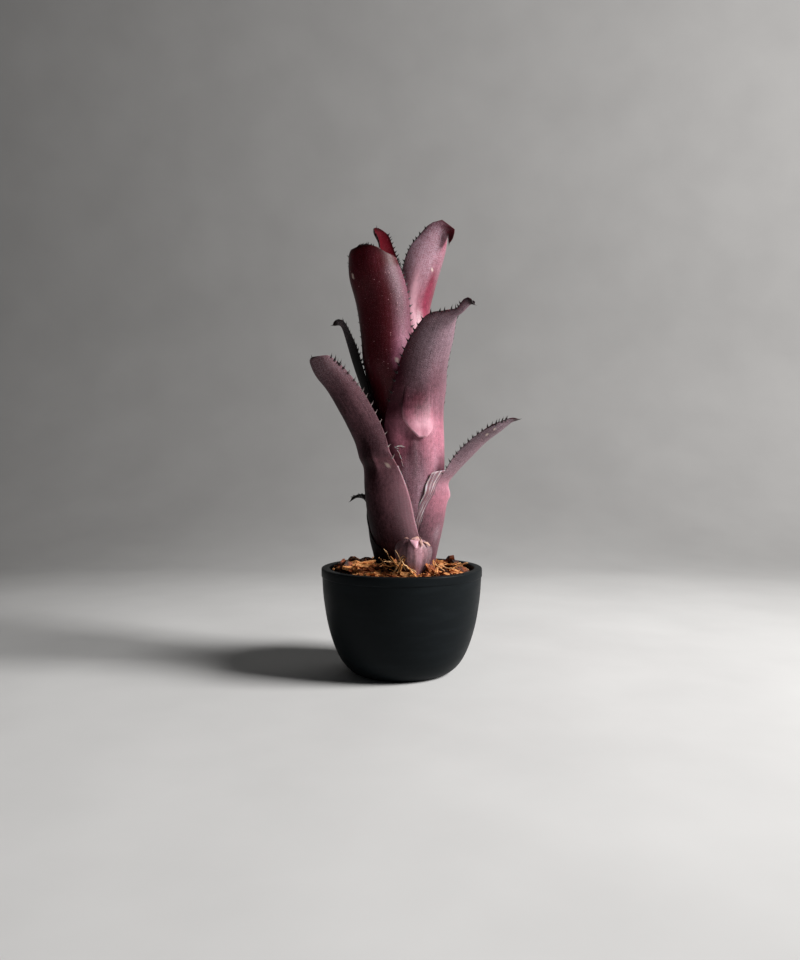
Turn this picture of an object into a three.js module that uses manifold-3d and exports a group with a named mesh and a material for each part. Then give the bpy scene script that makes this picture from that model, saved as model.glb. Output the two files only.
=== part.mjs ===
// A potted billbergia: an upright tube of nine spiny, strap-shaped leaves on a short stem, with a young
// offset at its foot, growing in coarse bark chips in a round black pot.
// Millimetres, +Z up. The origin is the centre of the pot's foot, and the viewer stands on the -Y side.
import * as THREE from "three";
import { mergeVertices } from "three/addons/utils/BufferGeometryUtils.js";
import Module from "manifold-3d";

const wasm = await Module();
wasm.setup();

// Driving dimensions
const RIM_RADIUS = 65; // outside of the pot's rim
const POT_HEIGHT = 84.5;
const FOOT_RADIUS = 35.5;
const MOUTH_RADIUS = 58.6; // inside of the rim
const COLLAR_STEP = 0.6; // how far the collar under the rim stands out of the wall
const COLLAR_FOOT = 77.4;
const FLOOR = 5; // thickness of the pot's floor
const SOIL_TOP = 77.5; // mean height of the bark's surface
const CLEARANCE = 0.3; // between pieces that touch
const AXIS_X = 3.5; // the rosette stands a little off the pot's centre
const LEAF_THICKNESS = 0.95;
const MARGIN_THICKNESS = 0.6;
const LAYER_PITCH = 1.6; // each leaf's sheath lies this far inside the one before it
const STEM_BOTTOM = 44;
const COLLAR = 60; // where the outermost leaf is set on the stem
const COLLAR_RADIUS = 15.5;
const STEM_FLATS = 0.982; // the flats of a faceted sheath lie this share of its corners' radius out
const FINE_STEPS = 240; // steps of the line that a leaf is laid out on
const FINE_TIP_ROWS = 4; // teeth near the tip that each get their own row
const NORMAL_REACH = 0.6; // how far apart the points are that a face's direction is taken from
const TOOTH_BASE = 1.5;
const TOOTH_LEAN = 0.45; // forward lean of a spine, as a share of its height
const POT_SEGMENTS = 40;
const FILL_SEGMENTS = 24;
const CHIP_SEED = 90210;
const CHIP_RINGS = [[32, 9], [42.5, 12], [52.5, 16]]; // radius, number of chips
const CHIP_LENGTH = [14, 22];
const CHIP_WIDTH = [9, 13];
const CHIP_THICKNESS = [3.5, 5.5];
const CHIP_TILT = 0.42; // radians, the most a chip leans
const CHIP_LIFT = 2.6; // the most a chip stands over the bark's mean height
const CHIP_CEILING = 102; // no chip reaches higher
const HEAP = 6; // how much higher the bark is at the plant than at the rim
const HOLE_CLEARANCE = 0.8; // round the plant where it stands in the bark

const radians = THREE.MathUtils.degToRad;
const { lerp, smoothstep } = THREE.MathUtils;

// Small helpers
// A repeatable random number from 0 to 1 for each call.
function randomSource(seed) {
  let state = seed;
  return () => {
    state = (state * 16807) % 2147483647;
    return state / 2147483647;
  };
}

// A smooth curve through rows of numbers, at u from 0 (first row) to 1 (last row).
function rowAt(rows, u) {
  const place = Math.min(Math.max(u, 0), 1) * (rows.length - 1);
  const i = Math.min(Math.floor(place), rows.length - 2);
  const t = place - i;
  const row = (k) => rows[Math.min(Math.max(k, 0), rows.length - 1)];
  const [p0, p1, p2, p3] = [row(i - 1), row(i), row(i + 1), row(i + 2)];
  return p1.map((start, k) => {
    const rise = (p2[k] - p0[k]) / 2;
    const fall = (p3[k] - p1[k]) / 2;
    const step = p2[k] - start;
    return start + t * (rise + t * (3 * step - 2 * rise - fall + t * (rise + fall - 2 * step)));
  });
}

// The value at x of the straight lines through [x, value] pairs.
function profileAt(pairs, x) {
  if (x <= pairs[0][0]) return pairs[0][1];
  for (let i = 1; i < pairs.length; i++) {
    const [x1, y1] = pairs[i];
    const [x0, y0] = pairs[i - 1];
    if (x <= x1) return lerp(y0, y1, (x - x0) / (x1 - x0));
  }
  return pairs[pairs.length - 1][1];
}

// A closed mesh as a solid that can be joined and cut.
function solidOf(geometry) {
  const bare = geometry.index ? geometry.toNonIndexed() : geometry.clone();
  bare.deleteAttribute("normal");
  bare.deleteAttribute("uv");
  const merged = mergeVertices(bare, 1e-3);
  const vertProperties = merged.attributes.position.array;
  const triVerts = new Uint32Array(merged.index.array);
  return new wasm.Manifold(new wasm.Mesh({ numProp: 3, vertProperties, triVerts }));
}

function geometryOf(solid) {
  const mesh = solid.getMesh();
  const geometry = new THREE.BufferGeometry();
  geometry.setAttribute("position", new THREE.BufferAttribute(new Float32Array(mesh.vertProperties), 3));
  geometry.setIndex(new THREE.BufferAttribute(mesh.triVerts, 1));
  return geometry;
}

// Chips cut loose from the bark by the plant's hole are left out.
function largestBody(solid) {
  return solid.decompose().reduce((best, body) => (body.volume() > best.volume() ? body : best));
}

function lathe(profile, segments) {
  const points = profile.map(([radius, height]) => new THREE.Vector2(radius, height));
  return new THREE.LatheGeometry(points, segments).rotateX(Math.PI / 2);
}

// The rosette's tube
// Outside radius of the tube of sheaths at each height, for the outermost leaf.
const TUBE = [
  [COLLAR, COLLAR_RADIUS],
  [70, 19.5],
  [80, 22.5],
  [92, 25],
  [104, 28.3],
  [121, 31.8],
  [138, 34.3],
  [154, 35.4],
  [172, 35.6],
  [195, 35],
  [225, 33.6],
  [260, 32],
  [300, 31],
];

// Radius of one leaf's sheath. Each inner sheath sits a pitch further in and a pitch higher on the stem.
function sheathRadius(layer, z) {
  const step = layer * LAYER_PITCH;
  return profileAt(TUBE, z - step) - step;
}

// A leaf is described from its foot to its tip by rows of
// [distance from the tube's axis, heading in degrees, height, width round the arc, half angle of that
// arc in degrees, twist in degrees, 1 where it wraps the tube and 0 where it is free].
function sheathRow(radius, heading, z, halfAngle) {
  return [radius, heading, z, 2 * radians(halfAngle) * radius, halfAngle, 0, 1];
}

function leafRows({ layer, heading, sheath, blade }) {
  const wraps = [[COLLAR + layer * LAYER_PITCH, sheath[0][1]], ...sheath];
  const rows = wraps.map(([z, halfAngle]) => sheathRow(sheathRadius(layer, z), heading, z, halfAngle));
  return [...rows, ...blade];
}

// The leaves from the outermost to the innermost. The sheath gives [height, half angle] pairs and the
// blade gives full rows. Teeth start at a share of the length and their pitch runs from the first value
// to the second.
const LEAVES = [
  {
    name: "leaf_low_back",
    layer: -0.15,
    heading: 150,
    sheath: [[80, 88], [96, 84], [105, 58], [114, 36], [124, 20]],
    blade: [
      [34.6, 150, 133, 12, 30, 0, 0.6],
      [39, 150, 138.3, 12, 46, 0, 0],
      [43.5, 151, 139.8, 10.5, 50, 0, 0],
      [48, 152, 139.4, 8.5, 50, 0, 0],
      [52.3, 153, 136.6, 3, 30, 0, 0],
    ],
    step: 5,
    teethFrom: 0.82,
    toothPitch: [3.4, 2.8],
    toothHeight: 1.4,
  },
  {
    name: "leaf_low_left",
    layer: 1,
    heading: -152,
    sheath: [[82, 84], [104, 86], [124, 74], [146, 64], [164, 52]],
    blade: [
      [37.5, -152, 173, 59, 45, 4, 0.8],
      [39.8, -152, 186, 45, 50, 12, 0.2],
      [46.5, -153, 201, 39.5, 60, 18, 0],
      [55.5, -154, 214.5, 41, 68, 18, 0],
      [64.5, -155, 227.5, 39, 70, 18, 0],
      [72.5, -156, 237.5, 36, 68, 18, 0],
      [77, -156, 245.5, 28, 60, 18, 0],
      [79.5, -156, 250, 9, 40, 18, 0],
    ],
    step: 10,
    teethFrom: 0.56,
    toothPitch: [7.4, 3.4],
    toothHeight: 2.6,
  },
  {
    name: "leaf_low_right",
    layer: 2,
    heading: -14,
    shift: [2.4, 1],
    sheath: [[84, 64], [104, 63], [120, 58], [134, 50]],
    blade: [
      [32.5, -14, 145, 45, 42, 0, 1],
      [33, -15, 153.8, 37, 40, 2, 0.6],
      [39.5, -17, 161.3, 34.5, 52, 0, 0.1],
      [49.2, -18, 171.2, 34.5, 76, 1, 0],
      [63.2, -19, 185, 29, 80, 0, 0],
      [75.7, -20, 193.4, 24.5, 76, 0, 0],
      [84, -20, 200.2, 13.5, 60, 0, 0],
      [90.5, -20, 202.5, 1.6, 40, 0, 0],
    ],
    step: 10,
    teethFrom: 0.58,
    toothPitch: [4.8, 3.4],
    toothHeight: 2.2,
  },
  {
    name: "leaf_front",
    layer: 3,
    heading: -60,
    sheath: [[86, 78], [110, 76], [135, 72], [160, 68], [185, 66], [204, 63]],
    blade: [
      [31, -60, 219, 58.5, 59, 0, 0.85],
      [35.5, -59.4, 234, 55, 60, 0, 0.3],
      [41.2, -59.2, 248, 51, 60, 0, 0],
      [48.2, -58.8, 260.5, 45.5, 61, 0, 0],
      [55.2, -58.7, 271.5, 35, 62, 0, 0],
      [63.5, -58.2, 276.2, 18, 66, 0, 0],
      [72.5, -57, 279.2, 8, 76, 0, 0],
      [80.5, -56, 284, 8.5, 76, 0, 0],
      [84.5, -55, 283.2, 4, 50, 0, 0],
    ],
    step: 11,
    teethFrom: 0.62,
    toothPitch: [6.4, 2.8],
    toothHeight: 2.3,
  },
  {
    name: "leaf_mid_left",
    layer: 4,
    heading: 177,
    sheath: [[90, 70], [120, 64], [150, 56], [175, 46], [195, 36]],
    blade: [
      [31.5, 177, 213, 40, 28, 4, 0.8],
      [36.5, 177, 232, 41, 22, 10, 0.2],
      [43, 177, 254, 35, 20, 14, 0],
      [48, 177, 268.5, 24, 22, 14, 0],
      [53, 177, 280.8, 14.5, 26, 14, 0],
      [59.5, 177, 280.5, 6, 26, 14, 0],
    ],
    step: 11,
    teethFrom: 0.6,
    toothPitch: [5.4, 3.2],
    toothHeight: 2,
  },
  {
    name: "leaf_mid_back",
    layer: 5,
    heading: 68,
    sheath: [[92, 78], [120, 76], [150, 72], [180, 66], [200, 58]],
    blade: [
      [29, 68, 218, 52, 52, 0, 0.85],
      [35, 68, 238, 46, 58, 0, 0.2],
      [44, 68, 260, 42, 62, 0, 0],
      [53, 68, 278, 36, 62, 0, 0],
      [59, 68, 290, 22, 56, 0, 0],
      [62, 68, 297, 5, 40, 0, 0],
    ],
    step: 12,
    teethFrom: 0.62,
    toothPitch: [6.4, 3.2],
    toothHeight: 2.4,
  },
  {
    name: "leaf_top_left",
    layer: 6,
    heading: -126,
    sheath: [[94, 78], [125, 78], [155, 76], [185, 74], [208, 72]],
    blade: [
      [29.5, -126, 227, 63, 72, 4, 0.7],
      [35.8, -125, 247, 63.5, 80, 12, 0.1],
      [37.7, -124.8, 271, 62, 84, 18, 0],
      [41, -125, 294, 63.5, 86, 20, 0],
      [47, -128, 314, 59, 84, 20, 0],
      [49, -129, 326, 50, 76, 20, 0],
      [48, -129, 332, 40, 62, 20, 0],
      [47.5, -129, 335, 15, 36, 20, 0],
    ],
    step: 15,
    teethFrom: 0.65,
    toothPitch: [6.6, 3],
    toothHeight: 2.2,
  },
  {
    name: "leaf_top_right",
    layer: 7,
    heading: -24,
    sheath: [[96, 80], [130, 80], [160, 78], [190, 76], [220, 74]],
    blade: [
      [20.5, -26, 245, 50, 70, -4, 0.9],
      [18.5, -28, 270, 48, 68, -10, 0.4],
      [16.5, -30, 290, 48, 68, -14, 0],
      [20, -30, 306, 50, 68, -16, 0],
      [25.5, -30, 323, 53, 70, -16, 0],
      [30.5, -30, 337, 47, 72, -16, 0],
      [34, -30, 347, 33, 76, -16, 0],
      [37.5, -29, 349, 16, 76, -16, 0],
      [38, -28, 340.5, 6, 60, -16, 0],
    ],
    step: 15,
    teethFrom: 0.62,
    toothPitch: [5.4, 3],
    toothHeight: 1.9,
  },
  {
    name: "leaf_top_back",
    layer: 8,
    heading: 136,
    sheath: [[98, 80], [130, 80], [165, 78], [200, 76], [230, 72]],
    blade: [
      [20, 136, 255, 40, 62, 0, 0.8],
      [20.5, 136, 280, 34, 58, 0, 0.2],
      [23, 136, 305, 28, 56, 0, 0],
      [24.8, 136, 330, 27.5, 58, 0, 0],
      [28, 135.5, 347.5, 20.5, 58, 3, 0],
      [33, 135.5, 357.8, 18, 54, 1, 0],
      [33.4, 136, 365, 9.5, 40, 0, 0],
    ],
    step: 16,
    teethFrom: 0.68,
    toothPitch: [5, 2.8],
    toothHeight: 1.8,
  },
];

// Leaf surface
// A point at a distance and heading from an upright axis.
function aroundAxis([axisX, axisY], radius, heading, z) {
  return new THREE.Vector3(axisX + radius * Math.cos(heading), axisY + radius * Math.sin(heading), z);
}

// The line down the middle of a leaf, with the way its upper face looks at each step.
function midribOf(rows, axis) {
  const points = [];
  for (let i = 0; i <= FINE_STEPS; i++) {
    const row = rowAt(rows, i / FINE_STEPS);
    points.push({ row, place: aroundAxis(axis, row[0], radians(row[1]), row[2]), along: 0 });
  }
  const firstHeading = radians(rows[0][1]);
  let inward = new THREE.Vector3(-Math.cos(firstHeading), -Math.sin(firstHeading), 0);
  points.forEach((point, i) => {
    const before = points[Math.max(i - 1, 0)].place;
    const after = points[Math.min(i + 1, FINE_STEPS)].place;
    point.forward = after.clone().sub(before).normalize();
    inward = inward.clone().addScaledVector(point.forward, -inward.dot(point.forward)).normalize();
    point.inward = inward;
    if (i) point.along = points[i - 1].along + point.place.distanceTo(before);
  });
  return points;
}

// The midrib's values at a distance along it.
function midribAt(points, distance) {
  let i = 1;
  while (i < points.length - 1 && points[i].along < distance) i++;
  const [a, b] = [points[i - 1], points[i]];
  const t = Math.min(Math.max((distance - a.along) / (b.along - a.along), 0), 1);
  return {
    row: a.row.map((value, k) => lerp(value, b.row[k], t)),
    place: a.place.clone().lerp(b.place, t),
    forward: a.forward.clone().lerp(b.forward, t).normalize(),
    inward: a.inward.clone().lerp(b.inward, t).normalize(),
  };
}

// A point of the leaf's middle surface: across runs from -1 at one margin to 1 at the other.
function leafPoint(points, axis, distance, across) {
  const { row, place, forward, inward } = midribAt(points, distance);
  const [radius, heading, z, width, halfAngle, twist, hug] = row;
  const half = radians(halfAngle);
  const bend = width / 2 / half;
  const turned = inward.clone().applyAxisAngle(forward, radians(twist));
  const side = turned.clone().cross(forward);
  const free = place
    .clone()
    .addScaledVector(side, bend * Math.sin(across * half))
    .addScaledVector(turned, bend * (1 - Math.cos(across * half)));
  const angle = radians(heading) + (across * width) / 2 / radius;
  return free.lerp(aroundAxis(axis, radius, angle, z), smoothstep(hug, 0, 1));
}

// Where the mesh has rows and teeth along the leaf.
function placesAlong(length, { step, teethFrom, toothPitch }) {
  const plainEnd = teethFrom * length;
  const steps = Math.round(plainEnd / step);
  const places = [];
  for (let i = 0; i < steps; i++) places.push({ at: (i * plainEnd) / steps, row: true });
  if (!toothPitch) return places;
  const teeth = Math.round((length - plainEnd) / ((toothPitch[0] + toothPitch[1]) / 2)) - 1;
  let at = plainEnd;
  for (let i = 0; i < teeth; i++) {
    places.push({ at, row: i % 2 === 0 || i > teeth - FINE_TIP_ROWS, tooth: true });
    places.push({ at: at + TOOTH_BASE, row: i === teeth - 1 });
    at += lerp(toothPitch[0], toothPitch[1], i / (teeth - 1));
  }
  return places;
}

// A leaf as one closed blade, with its spines drawn out of its margins.
function leafGeometry(leaf, rowsOfLeaf, axis) {
  const points = midribOf(rowsOfLeaf, axis);
  const length = points[points.length - 1].along;
  const places = placesAlong(length, leaf);
  const columns = leaf.columns ?? 8;
  const vertices = [];
  const triangles = [];
  const add = (point) => vertices.push(point.x, point.y, point.z) / 3 - 1;
  const corner = (index) => new THREE.Vector3().fromArray(vertices, 3 * index);
  const triangle = (a, b, c) => triangles.push(a, b, c);
  const quad = (a, b, c, d) => triangles.push(a, b, c, a, c, d);

  // The two faces at one spot of the blade, as a pair of vertices.
  const middle = (distance, across) => leafPoint(points, axis, distance, across);
  const pairAt = (distance, across) => {
    const reach = Math.min(0.08, 1 - Math.abs(across) + 0.04);
    const ahead = middle(distance + NORMAL_REACH, across).sub(middle(distance - NORMAL_REACH, across));
    const sideways = middle(distance, across + reach).sub(middle(distance, across - reach));
    const upper = ahead.cross(sideways).normalize();
    const thickness = lerp(leaf.thickness ?? LEAF_THICKNESS, MARGIN_THICKNESS, across ** 4);
    const centre = middle(distance, across);
    const inner = add(centre.clone().addScaledVector(upper, thickness / 2));
    const outer = add(centre.addScaledVector(upper, -thickness / 2));
    return { inner, outer };
  };

  const rows = places.filter((place) => place.row);
  const inside = rows.map(({ at }) => {
    const line = [];
    for (let j = 1; j < columns; j++) line.push(pairAt(at, (2 * j) / columns - 1));
    return line;
  });
  const margins = [-1, 1].map((side) => places.map(({ at }) => pairAt(at, side)));

  // A strip of triangles between two lines of pairs, the first with the smaller value of across.
  const strip = (first, second) => {
    let [i, j] = [0, 0];
    while (i < first.length - 1 || j < second.length - 1) {
      const firstIsBehind = i * (second.length - 1) <= j * (first.length - 1);
      if (j === second.length - 1 || (i < first.length - 1 && firstIsBehind)) {
        triangle(first[i].inner, first[i + 1].inner, second[j].inner);
        triangle(first[i].outer, second[j].outer, first[i + 1].outer);
        i++;
      } else {
        triangle(first[i].inner, second[j + 1].inner, second[j].inner);
        triangle(first[i].outer, second[j].outer, second[j + 1].outer);
        j++;
      }
    }
  };
  const rowIndex = places.map((place, k) => (place.row ? k : -1)).filter((k) => k >= 0);
  for (let i = 0; i < rows.length - 1; i++) {
    for (let j = 0; j < columns - 2; j++) {
      strip([inside[i][j], inside[i + 1][j]], [inside[i][j + 1], inside[i + 1][j + 1]]);
    }
    const stretch = [rowIndex[i], rowIndex[i + 1] + 1];
    strip(margins[0].slice(...stretch), [inside[i][0], inside[i + 1][0]]);
    strip([inside[i][columns - 2], inside[i + 1][columns - 2]], margins[1].slice(...stretch));
  }

  // The margins, flat between the teeth.
  margins.forEach((margin, side) => {
    for (let k = 0; k < margin.length - 1; k++) {
      const [a, b] = [margin[k], margin[k + 1]];
      const loop = side ? [a.inner, b.inner, b.outer, a.outer] : [a.inner, a.outer, b.outer, b.inner];
      if (!places[k].tooth) {
        quad(...loop);
        continue;
      }
      const root = loop.reduce((sum, index) => sum.add(corner(index)), new THREE.Vector3()).divideScalar(4);
      const along = corner(b.inner).sub(corner(a.inner)).normalize();
      const behind = middle((places[k].at + places[k + 1].at) / 2, side ? 0.8 : -0.8);
      const outward = root.clone().sub(behind);
      outward.addScaledVector(along, -outward.dot(along)).normalize();
      const height = leaf.toothHeight;
      const point = add(root.addScaledVector(outward, height).addScaledVector(along, TOOTH_LEAN * height));
      loop.forEach((index, n) => triangle(index, loop[(n + 1) % 4], point));
    }
  });

  // The foot, a plain cut, and the tip, a point.
  const line = (i) => [margins[0][rowIndex[i]], ...inside[i], margins[1][rowIndex[i]]];
  const foot = line(0);
  const last = line(rows.length - 1);
  const tip = add(middle(length, 0));
  for (let j = 0; j < columns; j++) {
    quad(foot[j].inner, foot[j + 1].inner, foot[j + 1].outer, foot[j].outer);
    triangle(last[j].inner, tip, last[j + 1].inner);
    triangle(last[j].outer, last[j + 1].outer, tip);
  }
  triangle(last[0].inner, last[0].outer, tip);
  triangle(last[columns].inner, tip, last[columns].outer);

  const geometry = new THREE.BufferGeometry();
  geometry.setAttribute("position", new THREE.BufferAttribute(new Float32Array(vertices), 3));
  geometry.setIndex(triangles);
  return geometry;
}

// Pot
const POT_OUTSIDE = [
  [0, 0],
  [FOOT_RADIUS, 0],
  [38.2, 0.6],
  [42, 2.8],
  [46.2, 6.6],
  [50.2, 12.2],
  [53.6, 19.2],
  [57, 28.6],
  [60, 40],
  [62.1, 52],
  [63.6, 64],
  [RIM_RADIUS - COLLAR_STEP, COLLAR_FOOT],
  [RIM_RADIUS, COLLAR_FOOT + 0.7],
  [RIM_RADIUS, POT_HEIGHT - 1.1],
  [RIM_RADIUS - 0.4, POT_HEIGHT - 0.3],
  [RIM_RADIUS - 1.2, POT_HEIGHT],
];
const POT_INSIDE = [
  [MOUTH_RADIUS + 0.9, POT_HEIGHT],
  [MOUTH_RADIUS, POT_HEIGHT - 0.9],
  [MOUTH_RADIUS, COLLAR_FOOT - 1],
  [58.6, 62],
  [57, 46],
  [53.2, 31],
  [48, 19],
  [41.4, 10],
  [33, 5.6],
  [0, FLOOR],
];

function potGeometry() {
  return lathe([...POT_OUTSIDE, ...POT_INSIDE], POT_SEGMENTS);
}

// Stem
// Radius of the stem inside a sheath whose foot has this radius.
function stemInside(footRadius) {
  return STEM_FLATS * (footRadius - LEAF_THICKNESS / 2) - 1.4 * CLEARANCE;
}

function stemGeometry() {
  const rise = (LEAVES.length - 1) * LAYER_PITCH;
  const profile = [
    [0, STEM_BOTTOM],
    [9, STEM_BOTTOM],
    [12, STEM_BOTTOM + 3],
    [stemInside(COLLAR_RADIUS), COLLAR - 4],
    [stemInside(COLLAR_RADIUS), COLLAR],
    [stemInside(COLLAR_RADIUS - rise), COLLAR + rise],
    [0, COLLAR + rise + 1],
  ];
  return lathe(profile, 20).translate(AXIS_X, 0, 0);
}

// Young offset
// A bud of three bracts round a solid core, leaning out at the front of the tube.
const SHOOT_AXIS = [8.1, -43.6];
const SHOOT_TUBE = [
  [68, 4.2],
  [78, 5],
  [87, 7],
  [94, 10.6],
  [101, 12.6],
  [108, 11.6],
  [113, 9],
];
const shootRow = ([z, grow, heading, halfAngle]) =>
  sheathRow(profileAt(SHOOT_TUBE, z) + grow, heading, z, halfAngle);
const SHOOT_BLADE = { step: 6, teethFrom: 0.96, columns: 6, thickness: 2.4 };
const SHOOT_BRACTS = [
  [[80, 0.1, -165, 60], [88, 0.1, -165, 84], [96, 0.1, -163, 84], [104, 0, -158, 70], [111, -2.4, -150, 20]],
  [[79, 0.5, -84, 44], [87, 0.5, -84, 66], [96, 0.5, -84, 60], [105, 1.2, -92, 34], [112.5, 3.4, -100, 4]],
  [[80, 0.25, -20, 50], [88, 0.25, -20, 72], [97, 0.25, -18, 68], [106, 1.4, -14, 40], [111, 3, -10, 8]],
];

function shootGeometry() {
  const side = SHOOT_TUBE.slice(0, 5).map(([z, radius]) => [radius, z]);
  const core = [[0, 66], [3, 66], ...side, [9.4, 105.5], [0, 108]];
  let solid = solidOf(lathe(core, 16).translate(SHOOT_AXIS[0], SHOOT_AXIS[1], 0));
  SHOOT_BRACTS.forEach((rows) => {
    solid = solid.add(solidOf(leafGeometry(SHOOT_BLADE, rows.map(shootRow), SHOOT_AXIS)));
  });
  return geometryOf(solid);
}

// Bark chips
// Height of the bark at a spot: heaped at the plant and the front left, low at the back right.
function barkHeight(x, y) {
  const out = Math.hypot(x, y) / RIM_RADIUS;
  const side = (0.7 * x + 0.7 * y) / RIM_RADIUS;
  return SOIL_TOP + 1 + HEAP * (1 - out * out) - 2 * side;
}

function chipGeometry(random) {
  const between = ([low, high]) => lerp(low, high, random());
  const box = new THREE.BoxGeometry(between(CHIP_LENGTH), between(CHIP_WIDTH), between(CHIP_THICKNESS));
  box.deleteAttribute("normal");
  box.deleteAttribute("uv");
  const chip = mergeVertices(box);
  const corners = chip.attributes.position;
  for (let i = 0; i < corners.count; i++) {
    corners.setXYZ(
      i,
      corners.getX(i) * (0.7 + 0.5 * random()),
      corners.getY(i) * (0.5 + 0.7 * random()),
      corners.getZ(i) * (0.5 + 0.9 * random()),
    );
  }
  return chip;
}

// The room a plant needs in the bark: its own outline with the clearance round it.
function holeFor(tube, bottom, bottomRadius, margin) {
  const inside = tube.filter(([z]) => z > bottom && z < CHIP_CEILING + 16);
  const rise = inside.map(([z, radius]) => [radius + margin, z]);
  return [[0, bottom], [bottomRadius, bottom], ...rise, [0, rise[rise.length - 1][1]]];
}

function scatteredChips() {
  const random = randomSource(CHIP_SEED);
  let chips = null;
  CHIP_RINGS.forEach(([radius, count], ring) => {
    for (let i = 0; i < count; i++) {
      const angle = ((i + 0.8 * random() + 0.5 * ring) / count) * 2 * Math.PI;
      const out = radius + 5 * (random() - 0.5);
      const x = out * Math.cos(angle);
      const y = out * Math.sin(angle);
      const chip = chipGeometry(random);
      chip.rotateX(CHIP_TILT * (2 * random() - 1));
      chip.rotateY(CHIP_TILT * (2 * random() - 1));
      chip.rotateZ(2 * Math.PI * random());
      chip.translate(x, y, barkHeight(x, y) + CHIP_LIFT * random());
      chips = chips ? chips.add(solidOf(chip)) : solidOf(chip);
    }
  });
  return chips;
}

// Filled soil with the chips on it, cut back from the pot's mouth and from the plants.
function substrateGeometry() {
  const wall = MOUTH_RADIUS - CLEARANCE;
  const sides = POT_INSIDE.filter(([, z]) => z < SOIL_TOP - 6).map(([radius, z]) => [radius, z + CLEARANCE]);
  const bottom = sides.map(([radius, z]) => [Math.max(radius - 2 * CLEARANCE, 0), z]).reverse();
  const fill = [...bottom, [wall, SOIL_TOP], [42, SOIL_TOP + 4], [0, SOIL_TOP + HEAP]];
  const rim = wall - 0.3;
  const mouth = [[0, SOIL_TOP - 8], [rim, SOIL_TOP - 8], [rim, CHIP_CEILING], [0, CHIP_CEILING]];
  const chips = scatteredChips().intersect(solidOf(lathe(mouth, FILL_SEGMENTS)));
  const gap = LEAF_THICKNESS / 2 + HOLE_CLEARANCE;
  const stemHole = lathe(holeFor(TUBE, STEM_BOTTOM - CLEARANCE, COLLAR_RADIUS + gap, gap), FILL_SEGMENTS);
  const shootHole = lathe(holeFor(SHOOT_TUBE, 65.5, 5.6, 1.6 + gap), 16);
  const solid = solidOf(lathe(fill, FILL_SEGMENTS))
    .add(chips)
    .subtract(solidOf(stemHole.translate(AXIS_X, 0, 0)))
    .subtract(solidOf(shootHole.translate(SHOOT_AXIS[0], SHOOT_AXIS[1], 0)));
  return geometryOf(largestBody(solid));
}

// Pieces
const part = new THREE.Group();
part.name = "potted_billbergia";

function finish(name, colour, roughness) {
  const material = new THREE.MeshStandardMaterial({ color: colour, roughness, metalness: 0 });
  material.name = name;
  return material;
}

function addPiece(name, geometry, material) {
  const mesh = new THREE.Mesh(geometry, material);
  mesh.name = name;
  part.add(mesh);
}

addPiece("pot", potGeometry(), finish("matte_black", "#14181a", 0.55));
addPiece("substrate", substrateGeometry(), finish("bark", "#75482a", 0.9));
addPiece("stem", stemGeometry(), finish("stem_skin", "#7d6b52", 0.8));
LEAVES.forEach((leaf) => {
  const [shiftX, shiftY] = leaf.shift ?? [0, 0];
  const geometry = leafGeometry(leaf, leafRows(leaf), [AXIS_X + shiftX, shiftY]);
  addPiece(leaf.name, geometry, finish("leaf_skin", "#5c3440", 0.45));
});
addPiece("offset_shoot", shootGeometry(), finish("shoot_skin", "#8a5560", 0.5));

export default part;
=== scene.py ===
"""A potted billbergia: an upright tube of spiny strap leaves with a young offset, in bark in a black pot.

Lengths are millimetres in the tables and metres in Blender. -Y faces the viewer and +X is to the right.
"""
import math
import random

import bpy
import numpy as np
from mathutils import Matrix, Vector, noise


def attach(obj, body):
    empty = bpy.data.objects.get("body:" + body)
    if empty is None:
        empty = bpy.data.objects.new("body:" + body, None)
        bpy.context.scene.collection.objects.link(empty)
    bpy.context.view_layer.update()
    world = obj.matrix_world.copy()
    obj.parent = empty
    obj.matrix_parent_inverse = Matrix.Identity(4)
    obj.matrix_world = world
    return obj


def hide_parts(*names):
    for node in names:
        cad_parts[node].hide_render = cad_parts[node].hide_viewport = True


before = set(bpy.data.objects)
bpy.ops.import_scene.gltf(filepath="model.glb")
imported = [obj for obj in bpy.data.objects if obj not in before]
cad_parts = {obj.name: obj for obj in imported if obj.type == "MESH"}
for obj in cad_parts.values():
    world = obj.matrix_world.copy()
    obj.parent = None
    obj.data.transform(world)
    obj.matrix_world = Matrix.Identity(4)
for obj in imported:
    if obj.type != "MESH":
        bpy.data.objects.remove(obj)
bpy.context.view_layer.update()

MM = 0.001

# The view
VIEW_TRANSFORM = "Standard"
EYE = Vector((-1.4, -649.0, 169.5))
DOWNWARD_TILT = 1.29  # degrees
LENS = 30.0
FILM = 36.0

# The rosette
AXIS = (3.5, 0.0)
COLLAR = 60.0
LAYER_PITCH = 1.6
LEAF_THICKNESS = 0.95
MARGIN_THICKNESS = 0.5
MIDRIB_STEPS = 241
ROW_STEP = 1.8  # spacing of the fine mesh along a leaf
ACROSS = 37  # points of the fine mesh across a leaf
MARGIN_CROWDING = 0.82  # how much closer those points lie at the margins, up to 1
WAVE_HEIGHT = 1.3
MARGIN_WAVE = 0.35  # how much higher the waves are at the margins
WAVES_ACROSS = 0.035  # per mm
WAVES_UP = 0.022
SPINE_BASE = 1.8
SPINE_SIDES = 6
LEAF_VALUES = ("blush", "bloom", "pale", "dry", "paper", "inner")  # what is painted on a leaf
TUBE = [
    (60, 15.5), (70, 19.5), (80, 22.5), (92, 25), (104, 28.3), (121, 31.8), (138, 34.3), (154, 35.4),
    (172, 35.6), (195, 35), (225, 33.6), (260, 32), (300, 31),
]

# The pot and what is in it
RIM_RADIUS = 65.0
MOUTH_RADIUS = 58.6
SOIL_TOP = 77.5
BED_FLOOR = 66  # where the bed of crumbs and the offset are closed below


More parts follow.
